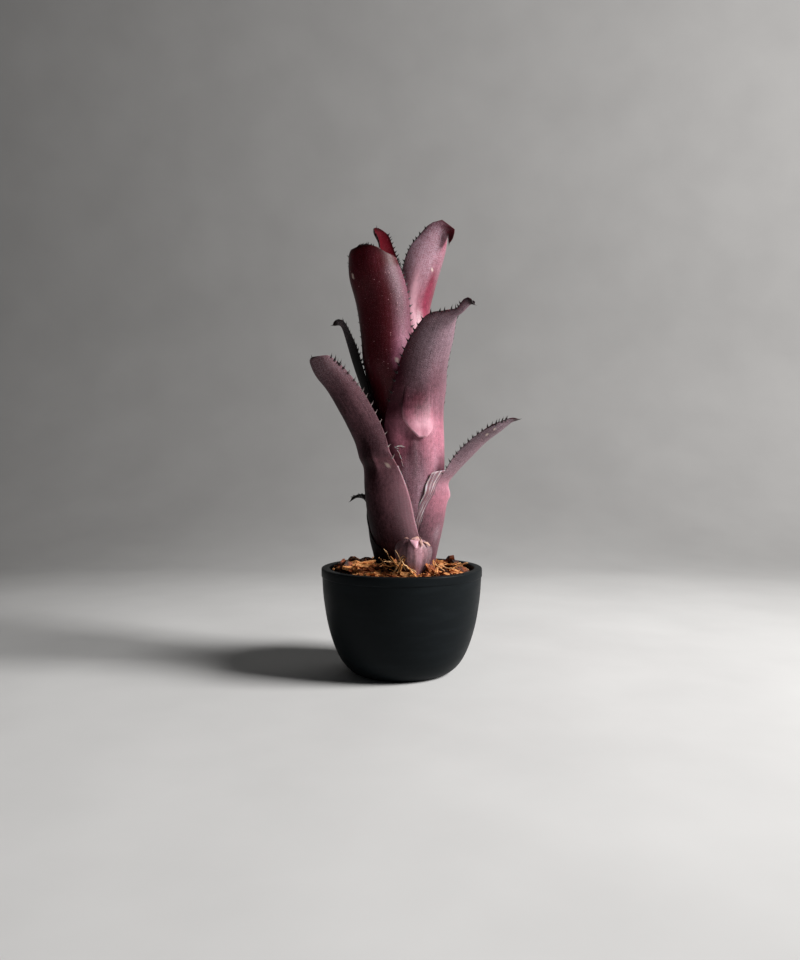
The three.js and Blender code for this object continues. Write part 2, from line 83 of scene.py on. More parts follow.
def linear(code):
    """An sRGB hex colour as the linear RGBA that Blender works in."""
    parts = [int(code[i:i + 2], 16) / 255 for i in (1, 3, 5)]
    return [p / 12.92 if p <= 0.04045 else ((p + 0.055) / 1.055) ** 2.4 for p in parts] + [1.0]


def node(tree, kind, inputs=None, **settings):
    """Adds a node with its settings, and with each input set to a value or linked to a socket."""
    made = tree.nodes.new(kind)
    for key, value in settings.items():
        setattr(made, key, value)
    for key, value in (inputs or {}).items():
        if isinstance(value, bpy.types.NodeSocket):
            tree.links.new(value, made.inputs[key])
        else:
            made.inputs[key].default_value = value
    return made


def new_material(name, constants):
    """An empty material with its Principled shader, and the shader's constant sockets set on it."""
    material = bpy.data.materials.new(name)
    material.use_nodes = True
    tree = material.node_tree
    shader = tree.nodes["Principled BSDF"]
    for key, value in constants.items():
        shader.inputs[key].default_value = value
    return material, tree, shader


def smooth(low, high, value):
    """0 below low, 1 above high and eased between them."""
    t = np.clip((value - low) / (high - low), 0, 1)
    return t * t * (3 - 2 * t)


def spot(s, a, centre_s, centre_a, length, breadth):
    """A soft blotch round one place of a leaf, sizes in mm along it and in shares of its half width."""
    return np.exp(-((s - centre_s) / length) ** 2 - ((a - centre_a) / breadth) ** 2)


# Leaf surfaces
def sheath_radius(layer, z):
    """How far from the axis a sheath lies at height z, layers being counted inwards."""
    step = layer * LAYER_PITCH
    return np.interp(z - step, *zip(*TUBE)) - step


def sheath_row(radius, heading, z, half_angle):
    """A row of a leaf that lies on the tube, wrapped half_angle degrees to each side."""
    return (radius, heading, z, 2 * math.radians(half_angle) * radius, half_angle, 0, 1)


def leaf_rows(leaf):
    """All rows of a leaf, from its foot up the sheath and along the blade."""
    wraps = [(COLLAR + leaf["layer"] * LAYER_PITCH, leaf["sheath"][0][1]), *leaf["sheath"]]
    rows = [sheath_row(sheath_radius(leaf["layer"], z), leaf["heading"], z, half) for z, half in wraps]
    return rows + leaf["blade"]


def spline(rows, count):
    """Rows of numbers along a smooth curve through the given rows."""
    rows = np.array(rows, float)
    last = len(rows) - 1
    place = np.linspace(0, last, count)
    i = np.minimum(place.astype(int), last - 1)
    t = (place - i)[:, None]
    before, start = rows[np.maximum(i - 1, 0)], rows[i]
    end, after = rows[i + 1], rows[np.minimum(i + 2, last)]
    rise = (end - before) / 2
    fall = (after - start) / 2
    step = end - start
    return start + t * (rise + t * (3 * step - 2 * rise - fall + t * (rise + fall - 2 * step)))


def unit(vectors):
    """Vectors brought to a length of 1."""
    return vectors / np.maximum(np.linalg.norm(vectors, axis=-1, keepdims=True), 1e-9)


def midrib(rows, axis):
    """The line down the middle of a leaf, with the way its upper face looks at each step."""
    row = spline(rows, MIDRIB_STEPS)
    heading = np.radians(row[:, 1])
    place = np.stack(
        [axis[0] + row[:, 0] * np.cos(heading), axis[1] + row[:, 0] * np.sin(heading), row[:, 2]], axis=1)
    steps = np.vstack([place[1:2] - place[0:1], place[2:] - place[:-2], place[-1:] - place[-2:-1]])
    forward = unit(steps)
    inward = np.empty_like(place)
    facing = np.array([-math.cos(heading[0]), -math.sin(heading[0]), 0.0])
    for i, direction in enumerate(forward):
        facing = unit(facing - direction * facing.dot(direction))
        inward[i] = facing
    along = np.concatenate([[0], np.cumsum(np.linalg.norm(np.diff(place, axis=0), axis=1))])
    return {"along": along, "data": np.hstack([row, place, forward, inward]), "axis": axis}


def rows_at(line, s):
    """The midrib's numbers at distances s."""
    flat = np.clip(np.ravel(s), 0, line["along"][-1])
    columns = [np.interp(flat, line["along"], column) for column in line["data"].T]
    return np.stack(columns, axis=-1).reshape(*np.shape(s), -1)


def blade_point(line, s, a):
    """Points of a leaf's middle surface in mm: a runs from -1 at one margin to 1 at the other."""
    s, a = np.broadcast_arrays(s, a)
    data = rows_at(line, s)
    radius, heading, z, width, half, twist, hug = [data[..., k] for k in range(7)]
    place, forward, inward = data[..., 7:10], unit(data[..., 10:13]), unit(data[..., 13:16])
    half = np.radians(half)
    bend = (width / 2 / half)[..., None]
    turn = np.radians(twist)[..., None]
    turned = inward * np.cos(turn) + np.cross(forward, inward) * np.sin(turn)
    side = np.cross(turned, forward)
    swing = (a * half)[..., None]
    free = place + side * bend * np.sin(swing) + turned * bend * (1 - np.cos(swing))
    angle = np.radians(heading) + a * width / 2 / radius
    axis = line["axis"]
    wrapped = np.stack([axis[0] + radius * np.cos(angle), axis[1] + radius * np.sin(angle), z], axis=-1)
    mix = smooth(0, 1, hug)[..., None]
    return free * (1 - mix) + wrapped * mix


def upper_normal(line, s, a):
    """The way the upper, inner face looks."""
    ahead = blade_point(line, s + 0.6, a) - blade_point(line, s - 0.6, a)
    sideways = blade_point(line, s, a + 0.03) - blade_point(line, s, a - 0.03)
    return unit(np.cross(ahead, sideways))


class Surface:
    """Vertices, faces and painted values gathered for one object."""

    def __init__(self, values=LEAF_VALUES):
        self.vertices = []
        self.faces = []
        self.slots = []
        self.uvs = []
        self.values = {name: [] for name in values}
        self.count = 0
        self.smooth = True

    def add(self, vertices, faces, slot=0, uvs=None, **values):
        """Adds vertices in mm with their faces, material slot and painted values."""
        vertices = np.reshape(vertices, (-1, 3))
        self.faces += [tuple(int(i) + self.count for i in face) for face in faces]
        self.slots += [slot] * len(faces)
        self.vertices.append(vertices)
        self.uvs.append(np.zeros((len(vertices), 2)) if uvs is None else np.reshape(uvs, (-1, 2)))
        for name, gathered in self.values.items():
            gathered.append(np.broadcast_to(np.ravel(values.get(name, 0.0)), (len(vertices),)))
        self.count += len(vertices)

    def join(self, other):
        """Adds all of another surface."""
        faces = [tuple(i + self.count for i in face) for face in other.faces]
        self.faces += faces
        self.slots += other.slots
        self.vertices += other.vertices
        self.uvs += other.uvs
        for name in self.values:
            self.values[name] += other.values[name]
        self.count += other.count

    def build(self, name, materials):
        """The finished object, in metres."""
        mesh = bpy.data.meshes.new(name)
        mesh.from_pydata((np.vstack(self.vertices) * MM).tolist(), [], self.faces)
        for material in materials:
            mesh.materials.append(material)
        mesh.polygons.foreach_set("material_index", self.slots)
        corner_vertex = np.empty(len(mesh.loops), int)
        mesh.loops.foreach_get("vertex_index", corner_vertex)
        layer = mesh.uv_layers.new(name="surface_mm")
        layer.data.foreach_set("uv", np.vstack(self.uvs)[corner_vertex].ravel())
        for key, gathered in self.values.items():
            attribute = mesh.attributes.new(key, "FLOAT", "POINT")
            attribute.data.foreach_set("value", np.concatenate(gathered))
        mesh.polygons.foreach_set("use_smooth", [self.smooth] * len(mesh.polygons))
        mesh.update()
        piece = bpy.data.objects.new(name, mesh)
        bpy.context.scene.collection.objects.link(piece)
        return piece


def grid_faces(rows, loop, first=0):
    """Quads between closed loops of vertices, one loop a row."""
    faces = []
    for i in range(rows - 1):
        for k in range(loop):
            a, b = i * loop + k, i * loop + (k + 1) % loop
            faces.append((first + a, first + b, first + b + loop, first + a + loop))
    return faces


def spine(surface, root, outward, forward, sideways, height, base, slot, tone=0.0):
    """One curved thorn with its foot sunk in the margin: wide along the leaf, thin across it."""
    rings = []
    stations = (-0.25, 0.0, 0.25, 0.5, 0.75, 1.0)
    for t in stations:
        lean = 0.5 * max(t, 0) ** 1.6
        centre = root + outward * height * t + forward * height * lean
        reach = max(1 - max(t, 0), 0.05) ** 1.15
        for k in range(SPINE_SIDES):
            angle = 2 * math.pi * k / SPINE_SIDES
            rings.append(centre + forward * (base / 2 * reach * math.cos(angle))
                         + sideways * (0.42 * reach * math.sin(angle)))
    faces = grid_faces(len(stations), SPINE_SIDES)
    faces.append(tuple(reversed(range(SPINE_SIDES))))
    faces.append(tuple(range(len(rings) - SPINE_SIDES, len(rings))))
    surface.add(np.array(rings), faces, slot, paper=tone)


def no_relief(s, a, z):
    """A leaf without folds of its own."""
    return 0 * a


def no_cut(a):
    """An end that isn't drawn back anywhere."""
    return 0 * a


def skin_frame(leaf, line, s, a):
    """A leaf's middle surface with its waves and folds, the way its upper face looks, and its thickness."""
    data = rows_at(line, s)
    hug = smooth(0, 1, data[..., 6])
    middle = blade_point(line, s, a)
    upper = upper_normal(line, s, a)
    seed = leaf["layer"] * 17.3
    ripple = np.array([
        noise.noise(Vector((x * WAVES_ACROSS + seed, y * WAVES_ACROSS, z * WAVES_UP)))
        for x, y, z in middle.reshape(-1, 3)
    ]).reshape(a.shape)
    free = (1 - hug) * smooth(0, 25, line["along"][-1] - s)
    waves = free * ripple * (WAVE_HEIGHT + MARGIN_WAVE * np.abs(a) ** 4)
    relief = leaf.get("relief", no_relief)(s, a, data[..., 2]) + waves
    thick = leaf.get("thickness", LEAF_THICKNESS)
    thickness = thick + (MARGIN_THICKNESS - thick) * np.abs(a) ** 4
    return middle - upper * relief[..., None], upper, thickness


def tip_taper(leaf, s, length):
    """How much of its width a leaf keeps at distance s, where its end is rounded off."""
    tip_round = leaf.get("tip_round", 4.0)
    return np.sqrt(np.clip(1 - (np.clip(s - (length - tip_round), 0, None) / tip_round) ** 2, 0.001, 1))


def end_cut(leaf, s, a, length):
    """How far in mm the end of a leaf is drawn back at each share of its width."""
    return leaf.get("cut_back", no_cut)(a) * smooth(0.72, 1, s / length)


def leaf_surface(leaf, rows, axis):
    """A leaf as one closed blade with a rounded edge, with its spines."""
    line = midrib(rows, axis)
    length = line["along"][-1]
    count = int(length / ROW_STEP)
    s = np.linspace(0, 1, count)
    s = (s + 0.12 * s * (1 - s) * smooth(0.6, 1, s)) * (length - 0.15)
    taper = tip_taper(leaf, s, length)
    crowding = math.pi / 2 * MARGIN_CROWDING
    a = np.sin(np.linspace(-1, 1, ACROSS) * crowding) / math.sin(crowding)
    grid_s, grid_a = np.meshgrid(s, a, indexing="ij")
    grid_s = grid_s - end_cut(leaf, grid_s, grid_a, length)
    grid_a = grid_a * taper[:, None]
    middle, upper, thickness = skin_frame(leaf, line, grid_s, grid_a)
    thickness = thickness * (0.35 + 0.65 * taper[:, None])
    width = rows_at(line, grid_s)[..., 3]
    inner = middle + upper * (thickness / 2)[..., None]
    outer = middle - upper * (thickness / 2)[..., None]
    edge_out = [
        unit(middle[:, edge] - middle[:, inside]) * (thickness[:, edge] * 0.45)[:, None]
        for edge, inside in ((0, 1), (-1, -2))]
    left = middle[:, 0] + edge_out[0]
    right = middle[:, -1] + edge_out[1]
    loops = np.concatenate([inner, right[:, None], outer[:, ::-1], left[:, None]], axis=1)

    across_mm = grid_a * width / 2
    ones = np.ones_like(grid_a)

    def around(face_in, face_out):
        return np.concatenate([face_in, face_out[:, -1:], face_out[:, ::-1], face_in[:, :1]], axis=1)

    paint = leaf["paint"](grid_s, grid_a, length)
    both = {key: around(*sides) for key, sides in paint.items()}
    uvs = np.stack([around(across_mm, across_mm), around(grid_s, grid_s)], axis=-1)
    loop = loops.shape[1]
    faces = grid_faces(len(s), loop)
    caps = []
    for row, flip in ((0, True), (len(s) - 1, False)):
        first = row * loop
        last = first + loop
        flats = [(first + k, first + k + 1, last - 3 - k, last - 2 - k) for k in range(ACROSS - 1)]
        edges = [(first + ACROSS - 1, first + ACROSS, first + ACROSS + 1), (last - 2, last - 1, first)]
        caps += [face[::-1] if flip else face for face in flats + edges]
    surface = Surface()
    surface.add(loops, faces + caps, 0, uvs, inner=around(ones, 0 * ones), **both)
    add_spines(surface, leaf, line, length)
    return surface, line


def add_sheet(surface, over, under, slot, across_mm, along_mm, **values):
    """A thin closed sheet between two grids of points, its faces turned outward."""
    rows, columns = over.shape[:2]

    def around(grid):
        return np.concatenate([grid, grid[:, ::-1]], axis=1)

    loops = np.concatenate([over, under[:, ::-1]], axis=1)
    loop = 2 * columns
    faces = grid_faces(rows, loop)
    for first, flip in ((0, True), ((rows - 1) * loop, False)):
        for k in range(columns - 1):
            quad = (first + k, first + k + 1, first + loop - 2 - k, first + loop - 1 - k)
            faces.append(quad[::-1] if flip else quad)
    i, k = rows // 2, columns // 2
    facing = np.cross(over[i, k] - over[i, k - 1], over[i, k] - over[i - 1, k])
    if facing.dot(over[i, k] - under[i, k]) < 0:
        faces = [face[::-1] for face in faces]
    uvs = np.stack([around(across_mm), around(along_mm)], axis=-1)
    surface.add(loops, faces, slot, uvs, **{key: around(grid) for key, grid in values.items()})


def add_lip(surface, leaf, line, edge, top, height):
    """A flap that lifts off the outer face and ends below in a rounded lip. The edge is given as (a, s)."""
    across = np.linspace(0, 1, 35)
    a = edge[0][0] + (edge[-1][0] - edge[0][0]) * across
    lip = np.interp(a, *zip(*edge))
    rise = height * np.clip(1 - np.abs(2 * across - 1) ** 3.2, 0, 1)
    curl = np.minimum(1.5, np.maximum(rise, 0.05))
    s_rows, lift_rows = [], []
    for t in np.linspace(0, 1, 26):
        s_rows.append(top + (lip + curl - top) * t)
        lift_rows.append(-0.3 + (rise + 0.3) * smooth(0.2, 1.05, np.array(t)))
    for turn in np.linspace(0.15, 1, 7) * math.pi / 2:
        s_rows.append(lip + curl * (1 - math.sin(turn)))
        lift_rows.append(rise - curl * (1 - math.cos(turn)))
    s_rows.append(lip + 0.5)
    lift_rows.append(0 * rise - 0.3)
    s, lift = np.array(s_rows), np.array(lift_rows)
    grid_a = np.broadcast_to(a, s.shape)
    middle, upper, thickness = skin_frame(leaf, line, s, grid_a)
    over = middle - upper * (thickness / 2 + lift)[..., None]
    under = middle - upper * (thickness / 2 - 0.42)[..., None]
    painted = {key: both[1] for key, both in leaf["paint"](s, grid_a, line["along"][-1]).items()}
    down = np.linspace(0, 1, len(s))[:, None]
    swell = (rise / height)[None, :] * np.ones_like(down)
    # The lip grows rosier and paler toward its rim: partly its own pink and partly a painted highlight
    # where it faces the light.
    warm = smooth(0.4, 0.9, down) * smooth(0.2, 0.8, swell)
    full = smooth(0.58, 0.84, down + 0.1 * a[None, :]) * smooth(0.0, 0.6, swell)
    painted["blush"] = np.clip(painted["blush"] + 0.4 * warm, 0, 1.2)
    painted["bloom"] = painted["bloom"] * (1 - 0.9 * warm)
    painted["pale"] = np.maximum(painted["pale"], 0.9 * full)
    add_sheet(surface, over, under, 0, grid_a * rows_at(line, s)[..., 3] / 2, s, **painted)


def add_papery_margin(surface, leaf, line, side, stations, slot, bleach):
    """The thin dry skin that runs on past a sheath's margin. Stations are (s, width in mm)."""
    rows = np.arange(stations[0][0], stations[-1][0] + 0.1, 1.5)
    across = np.linspace(-0.12, 1, 12)
    s, share = np.meshgrid(rows, across, indexing="ij")
    wide = np.interp(s, *zip(*stations))
    half_width = rows_at(line, s)[..., 3] / 2
    past = np.where(share > 0, share * wide, share * 6)
    a = side * (1 + past / half_width)
    s = s - 0.55 * np.clip(past, 0, None) * smooth(stations[-1][0] - 22, stations[-1][0], s)
    middle, upper, _ = skin_frame(leaf, line, s, np.clip(a, -1.6, 1.6))
    folds = 0.22 * np.sin(share * 19 + 0.08 * s) * np.clip(share, 0, 1) - 1.15 * np.clip(share, 0, 1) ** 0.7
    middle = middle - upper * (folds + 0.12)[..., None]
    skin = 0.12
    worn = 0.6 + 0.4 * np.sin(0.31 * rows + 1.2)[:, None] * np.sin(0.13 * rows)[:, None]
    drift = share + 0.05 * np.sin(0.17 * s) + 0.03 * np.sin(0.47 * s + 2)
    creases = np.maximum(
        0.5 * smooth(0.07, 0.0, np.abs(drift - 0.62)), 0.4 * smooth(0.06, 0.0, np.abs(drift - 0.34)))
    bright = np.maximum(smooth(0.84, 0.96, drift), creases) * worn
    end = smooth(stations[-1][0] - 2, stations[-1][0], rows)[:, None]
    bright = np.maximum(bright, 0.9 * end * smooth(0.35, 0.6, share)) * bleach
    add_sheet(surface, middle - upper * skin, middle + upper * skin, slot, share * wide, s, paper=bright)


def add_shred(surface, leaf, line, s, a, length, breadth, turn, slot):
    """A shred of dry skin on the outer face: a thin strip with pointed, lifted ends."""
    t, side = np.meshgrid(np.linspace(-1, 1, 9), np.linspace(-1, 1, 4), indexing="ij")
    half = breadth / 2 * np.sqrt(1.02 - t ** 2) * side
    turn = math.radians(turn)
    along = s + length / 2 * t * math.sin(turn) + half * math.cos(turn)
    across = length / 2 * t * math.cos(turn) - half * math.sin(turn)
    wide = float(rows_at(line, np.array(s))[3])
    middle, upper, thickness = skin_frame(leaf, line, along, a + 2 * across / wide)
    lift = thickness / 2 + 0.1 + 0.5 * np.abs(t) ** 3 + 0.15 * side ** 2
    add_sheet(surface, middle - upper * (lift + 0.16)[..., None], middle - upper * lift[..., None], slot,
              across, 8 * side, paper=1.0 + 0 * side)


def add_scrap(surface, leaf, line, corners, slot, **values):
    """A torn scrap that lifts off the outer face, spanned between four corners (s, a, lift)."""
    first, second = (np.array(pair, float) for pair in (corners[:2], corners[2:]))
    down, over = np.meshgrid(np.linspace(0, 1, 8), np.linspace(0, 1, 6), indexing="ij")
    mix_first = first[0] + (first[1] - first[0]) * over[..., None]
    mix_second = second[0] + (second[1] - second[0]) * over[..., None]
    s, a, lift = np.moveaxis(mix_first + (mix_second - mix_first) * down[..., None], -1, 0)
    lift = lift + 0.35 * np.sin(down * math.pi) * np.sin(over * math.pi)
    middle, upper, thickness = skin_frame(leaf, line, s, a)
    wide = rows_at(line, s)[..., 3]
    surface_values = {key: value + 0 * s for key, value in values.items()}
    add_sheet(surface, middle - upper * (thickness / 2 + lift + 0.35)[..., None],
              middle - upper * (thickness / 2 + lift)[..., None], slot, a * wide / 2, s, **surface_values)


def add_spines(surface, leaf, line, length):
    """Spines out of both margins, at the same places as in the source, and a point at the tip. They start
    at a share of the length, may stop early, and a blunt end may have small ones along its edge."""
    if "tooth_pitch" not in leaf:
        return
    wide, narrow = leaf["tooth_pitch"]
    start = leaf["teeth_from"] * length
    teeth = round((length - start) / ((wide + narrow) / 2)) - 1
    draw = random.Random(leaf["name"])
    splay = leaf.get("spine_splay", 0.0)
    for edge in (-1, 1):
        s = start
        for i in range(teeth):
            if s > leaf.get("teeth_to", length):
                break
            at = np.array(s + 0.75 + draw.uniform(-0.25, 0.25) * narrow)
            at = at - end_cut(leaf, at, edge, length)
            margin = np.array(0.985 * edge * tip_taper(leaf, at, length))
            root = blade_point(line, at, margin)
            forward = unit(blade_point(line, at + 1, margin) - root)
            outward = unit(root - blade_point(line, at, 0.86 * margin))
            outward = outward - splay * upper_normal(line, at, margin)
            outward = unit(outward - forward * outward.dot(forward))
            sideways = np.cross(outward, forward)
            height = leaf["tooth_height"] * draw.uniform(1.1, 1.65)
            base = SPINE_BASE * draw.uniform(0.9, 1.2)
            # Pale spines low on the leaf: partly dry horn, partly a painted sheen.
            tone = leaf.get("spine_dryness_and_sheen", 0.0) * smooth(0.95, 0.6, s / length)
            spine(surface, root, outward, forward, sideways, height, base, 1, tone)
            s += wide + (narrow - wide) * i / (teeth - 1)
    for i in range(leaf.get("end_spines", 0)):
        across = np.array(-0.8 + 1.6 * (i + draw.uniform(-0.3, 0.3)) / (leaf["end_spines"] - 1))
        at = np.array(length - 0.5)
        margin = across * tip_taper(leaf, at, length)
        at = at - end_cut(leaf, at, across, length)
        root = blade_point(line, at, margin)
        forward = unit(root - blade_point(line, at - 1, margin))
        side = unit(blade_point(line, at, margin + 0.05) - root)
        spine(surface, root, forward, side, np.cross(forward, side), draw.uniform(1.2, 2.4), SPINE_BASE, 1)
    end = np.array(length - 0.4)
    root = blade_point(line, end, np.array(0.0))
    forward = unit(root - blade_point(line, end - 1.5, np.array(0.0)))
    side = unit(blade_point(line, end - 1, np.array(0.5)) - blade_point(line, end - 1, np.array(-0.5)))
    spine(surface, root, forward, side, np.cross(forward, side), 2.4, 1.3, 1)


# How each leaf is painted. Blush is the rosy colour over the dark one, bloom the silvery scales, pale the
# pinkish white of thick folds and also painted highlights, dry the browned tip and dark margins and in one
# place painted shade, and paper the dry white scars. Some marks paint light or shade, as noted at each
# leaf.
def paint_leaf(blush, bloom, blush_across=((0, 0),), bloom_across=((0, 0),), inner_blush=None,
               tip=6.0, marks=()):
    """Stations are (mm along the leaf, value) and (share across, value added). Each mark is a soft patch:
    what it adds to, how much, and its place and sizes. The last tip mm of the leaf are dry."""

    def paint(s, a, length):
        """Every painted value on the inner and on the outer face."""
        layers = {
            "blush": np.interp(s, *zip(*blush)) + np.interp(a, *zip(*blush_across)),
            "bloom": np.interp(s, *zip(*bloom)) + np.interp(a, *zip(*bloom_across)),
            "pale": 0 * a,
            "paper": 0 * a,
            "dry": smooth(tip, tip * 0.35, length - s) + 0 * a,
        }
        inner = layers["blush"] * 0.8 if inner_blush is None else 0 * a + inner_blush
        for layer, amount, *place in marks:
            layers[layer] = layers[layer] + amount * spot(s, a, *place)
        rosy, scales, pale = (np.clip(layers[key], 0, 1.2) for key in ("blush", "bloom", "pale"))
        dry = np.clip(layers["dry"], 0, 1)
        paper = smooth(0.35, 0.6, layers["paper"])
        return {
            "blush": (np.clip(inner, 0, 1.2), rosy), "bloom": (0.2 * scales, np.clip(scales, 0, 1)),
            "pale": (0 * pale, pale), "dry": (dry, dry), "paper": (paper, paper),
        }

    return paint


def front_relief(s, a, z):
    """The fold that runs down the front leaf's sheath from under its lip."""
    groove = np.exp(-((a + 0.16) / 0.1) ** 2) * smooth(140, 165, z) * smooth(203, 186, z)
    swelling = np.exp(-((a - 0.2) / 0.25) ** 2) * smooth(140, 170, z) * smooth(230, 190, z)
    return -1.4 * groove + 0.7 * swelling


def hugging_margins(s, a, z):
    """Both margins pressed on the sheath inside."""
    return -1.0 * smooth(0.4, 1, np.abs(a)) * smooth(126, 112, z)


def shoulder(s, a, z):
    """The bulge at the top of the right leaf's sheath, with a dent over it."""
    across = np.exp(-((a - 0.3) / 0.35) ** 2)
    return (1.2 * np.exp(-((z - 142) / 3) ** 2) - 0.9 * np.exp(-((z - 151) / 4) ** 2)) * across


def ribs(s, a, z):
    """Shallow lengthwise ribs on a bract, fading at its margins."""
    fading = smooth(1, 0.8, np.abs(a)) * smooth(76, 84, z)
    return (0.13 * np.sin(21 * a + 0.6) + 0.06 * np.sin(47 * a)) * fading


def slanting_end(a):
    """The end of the tall left leaf falls away toward its right margin."""
    return 7 * smooth(0.38, 1.05, a)


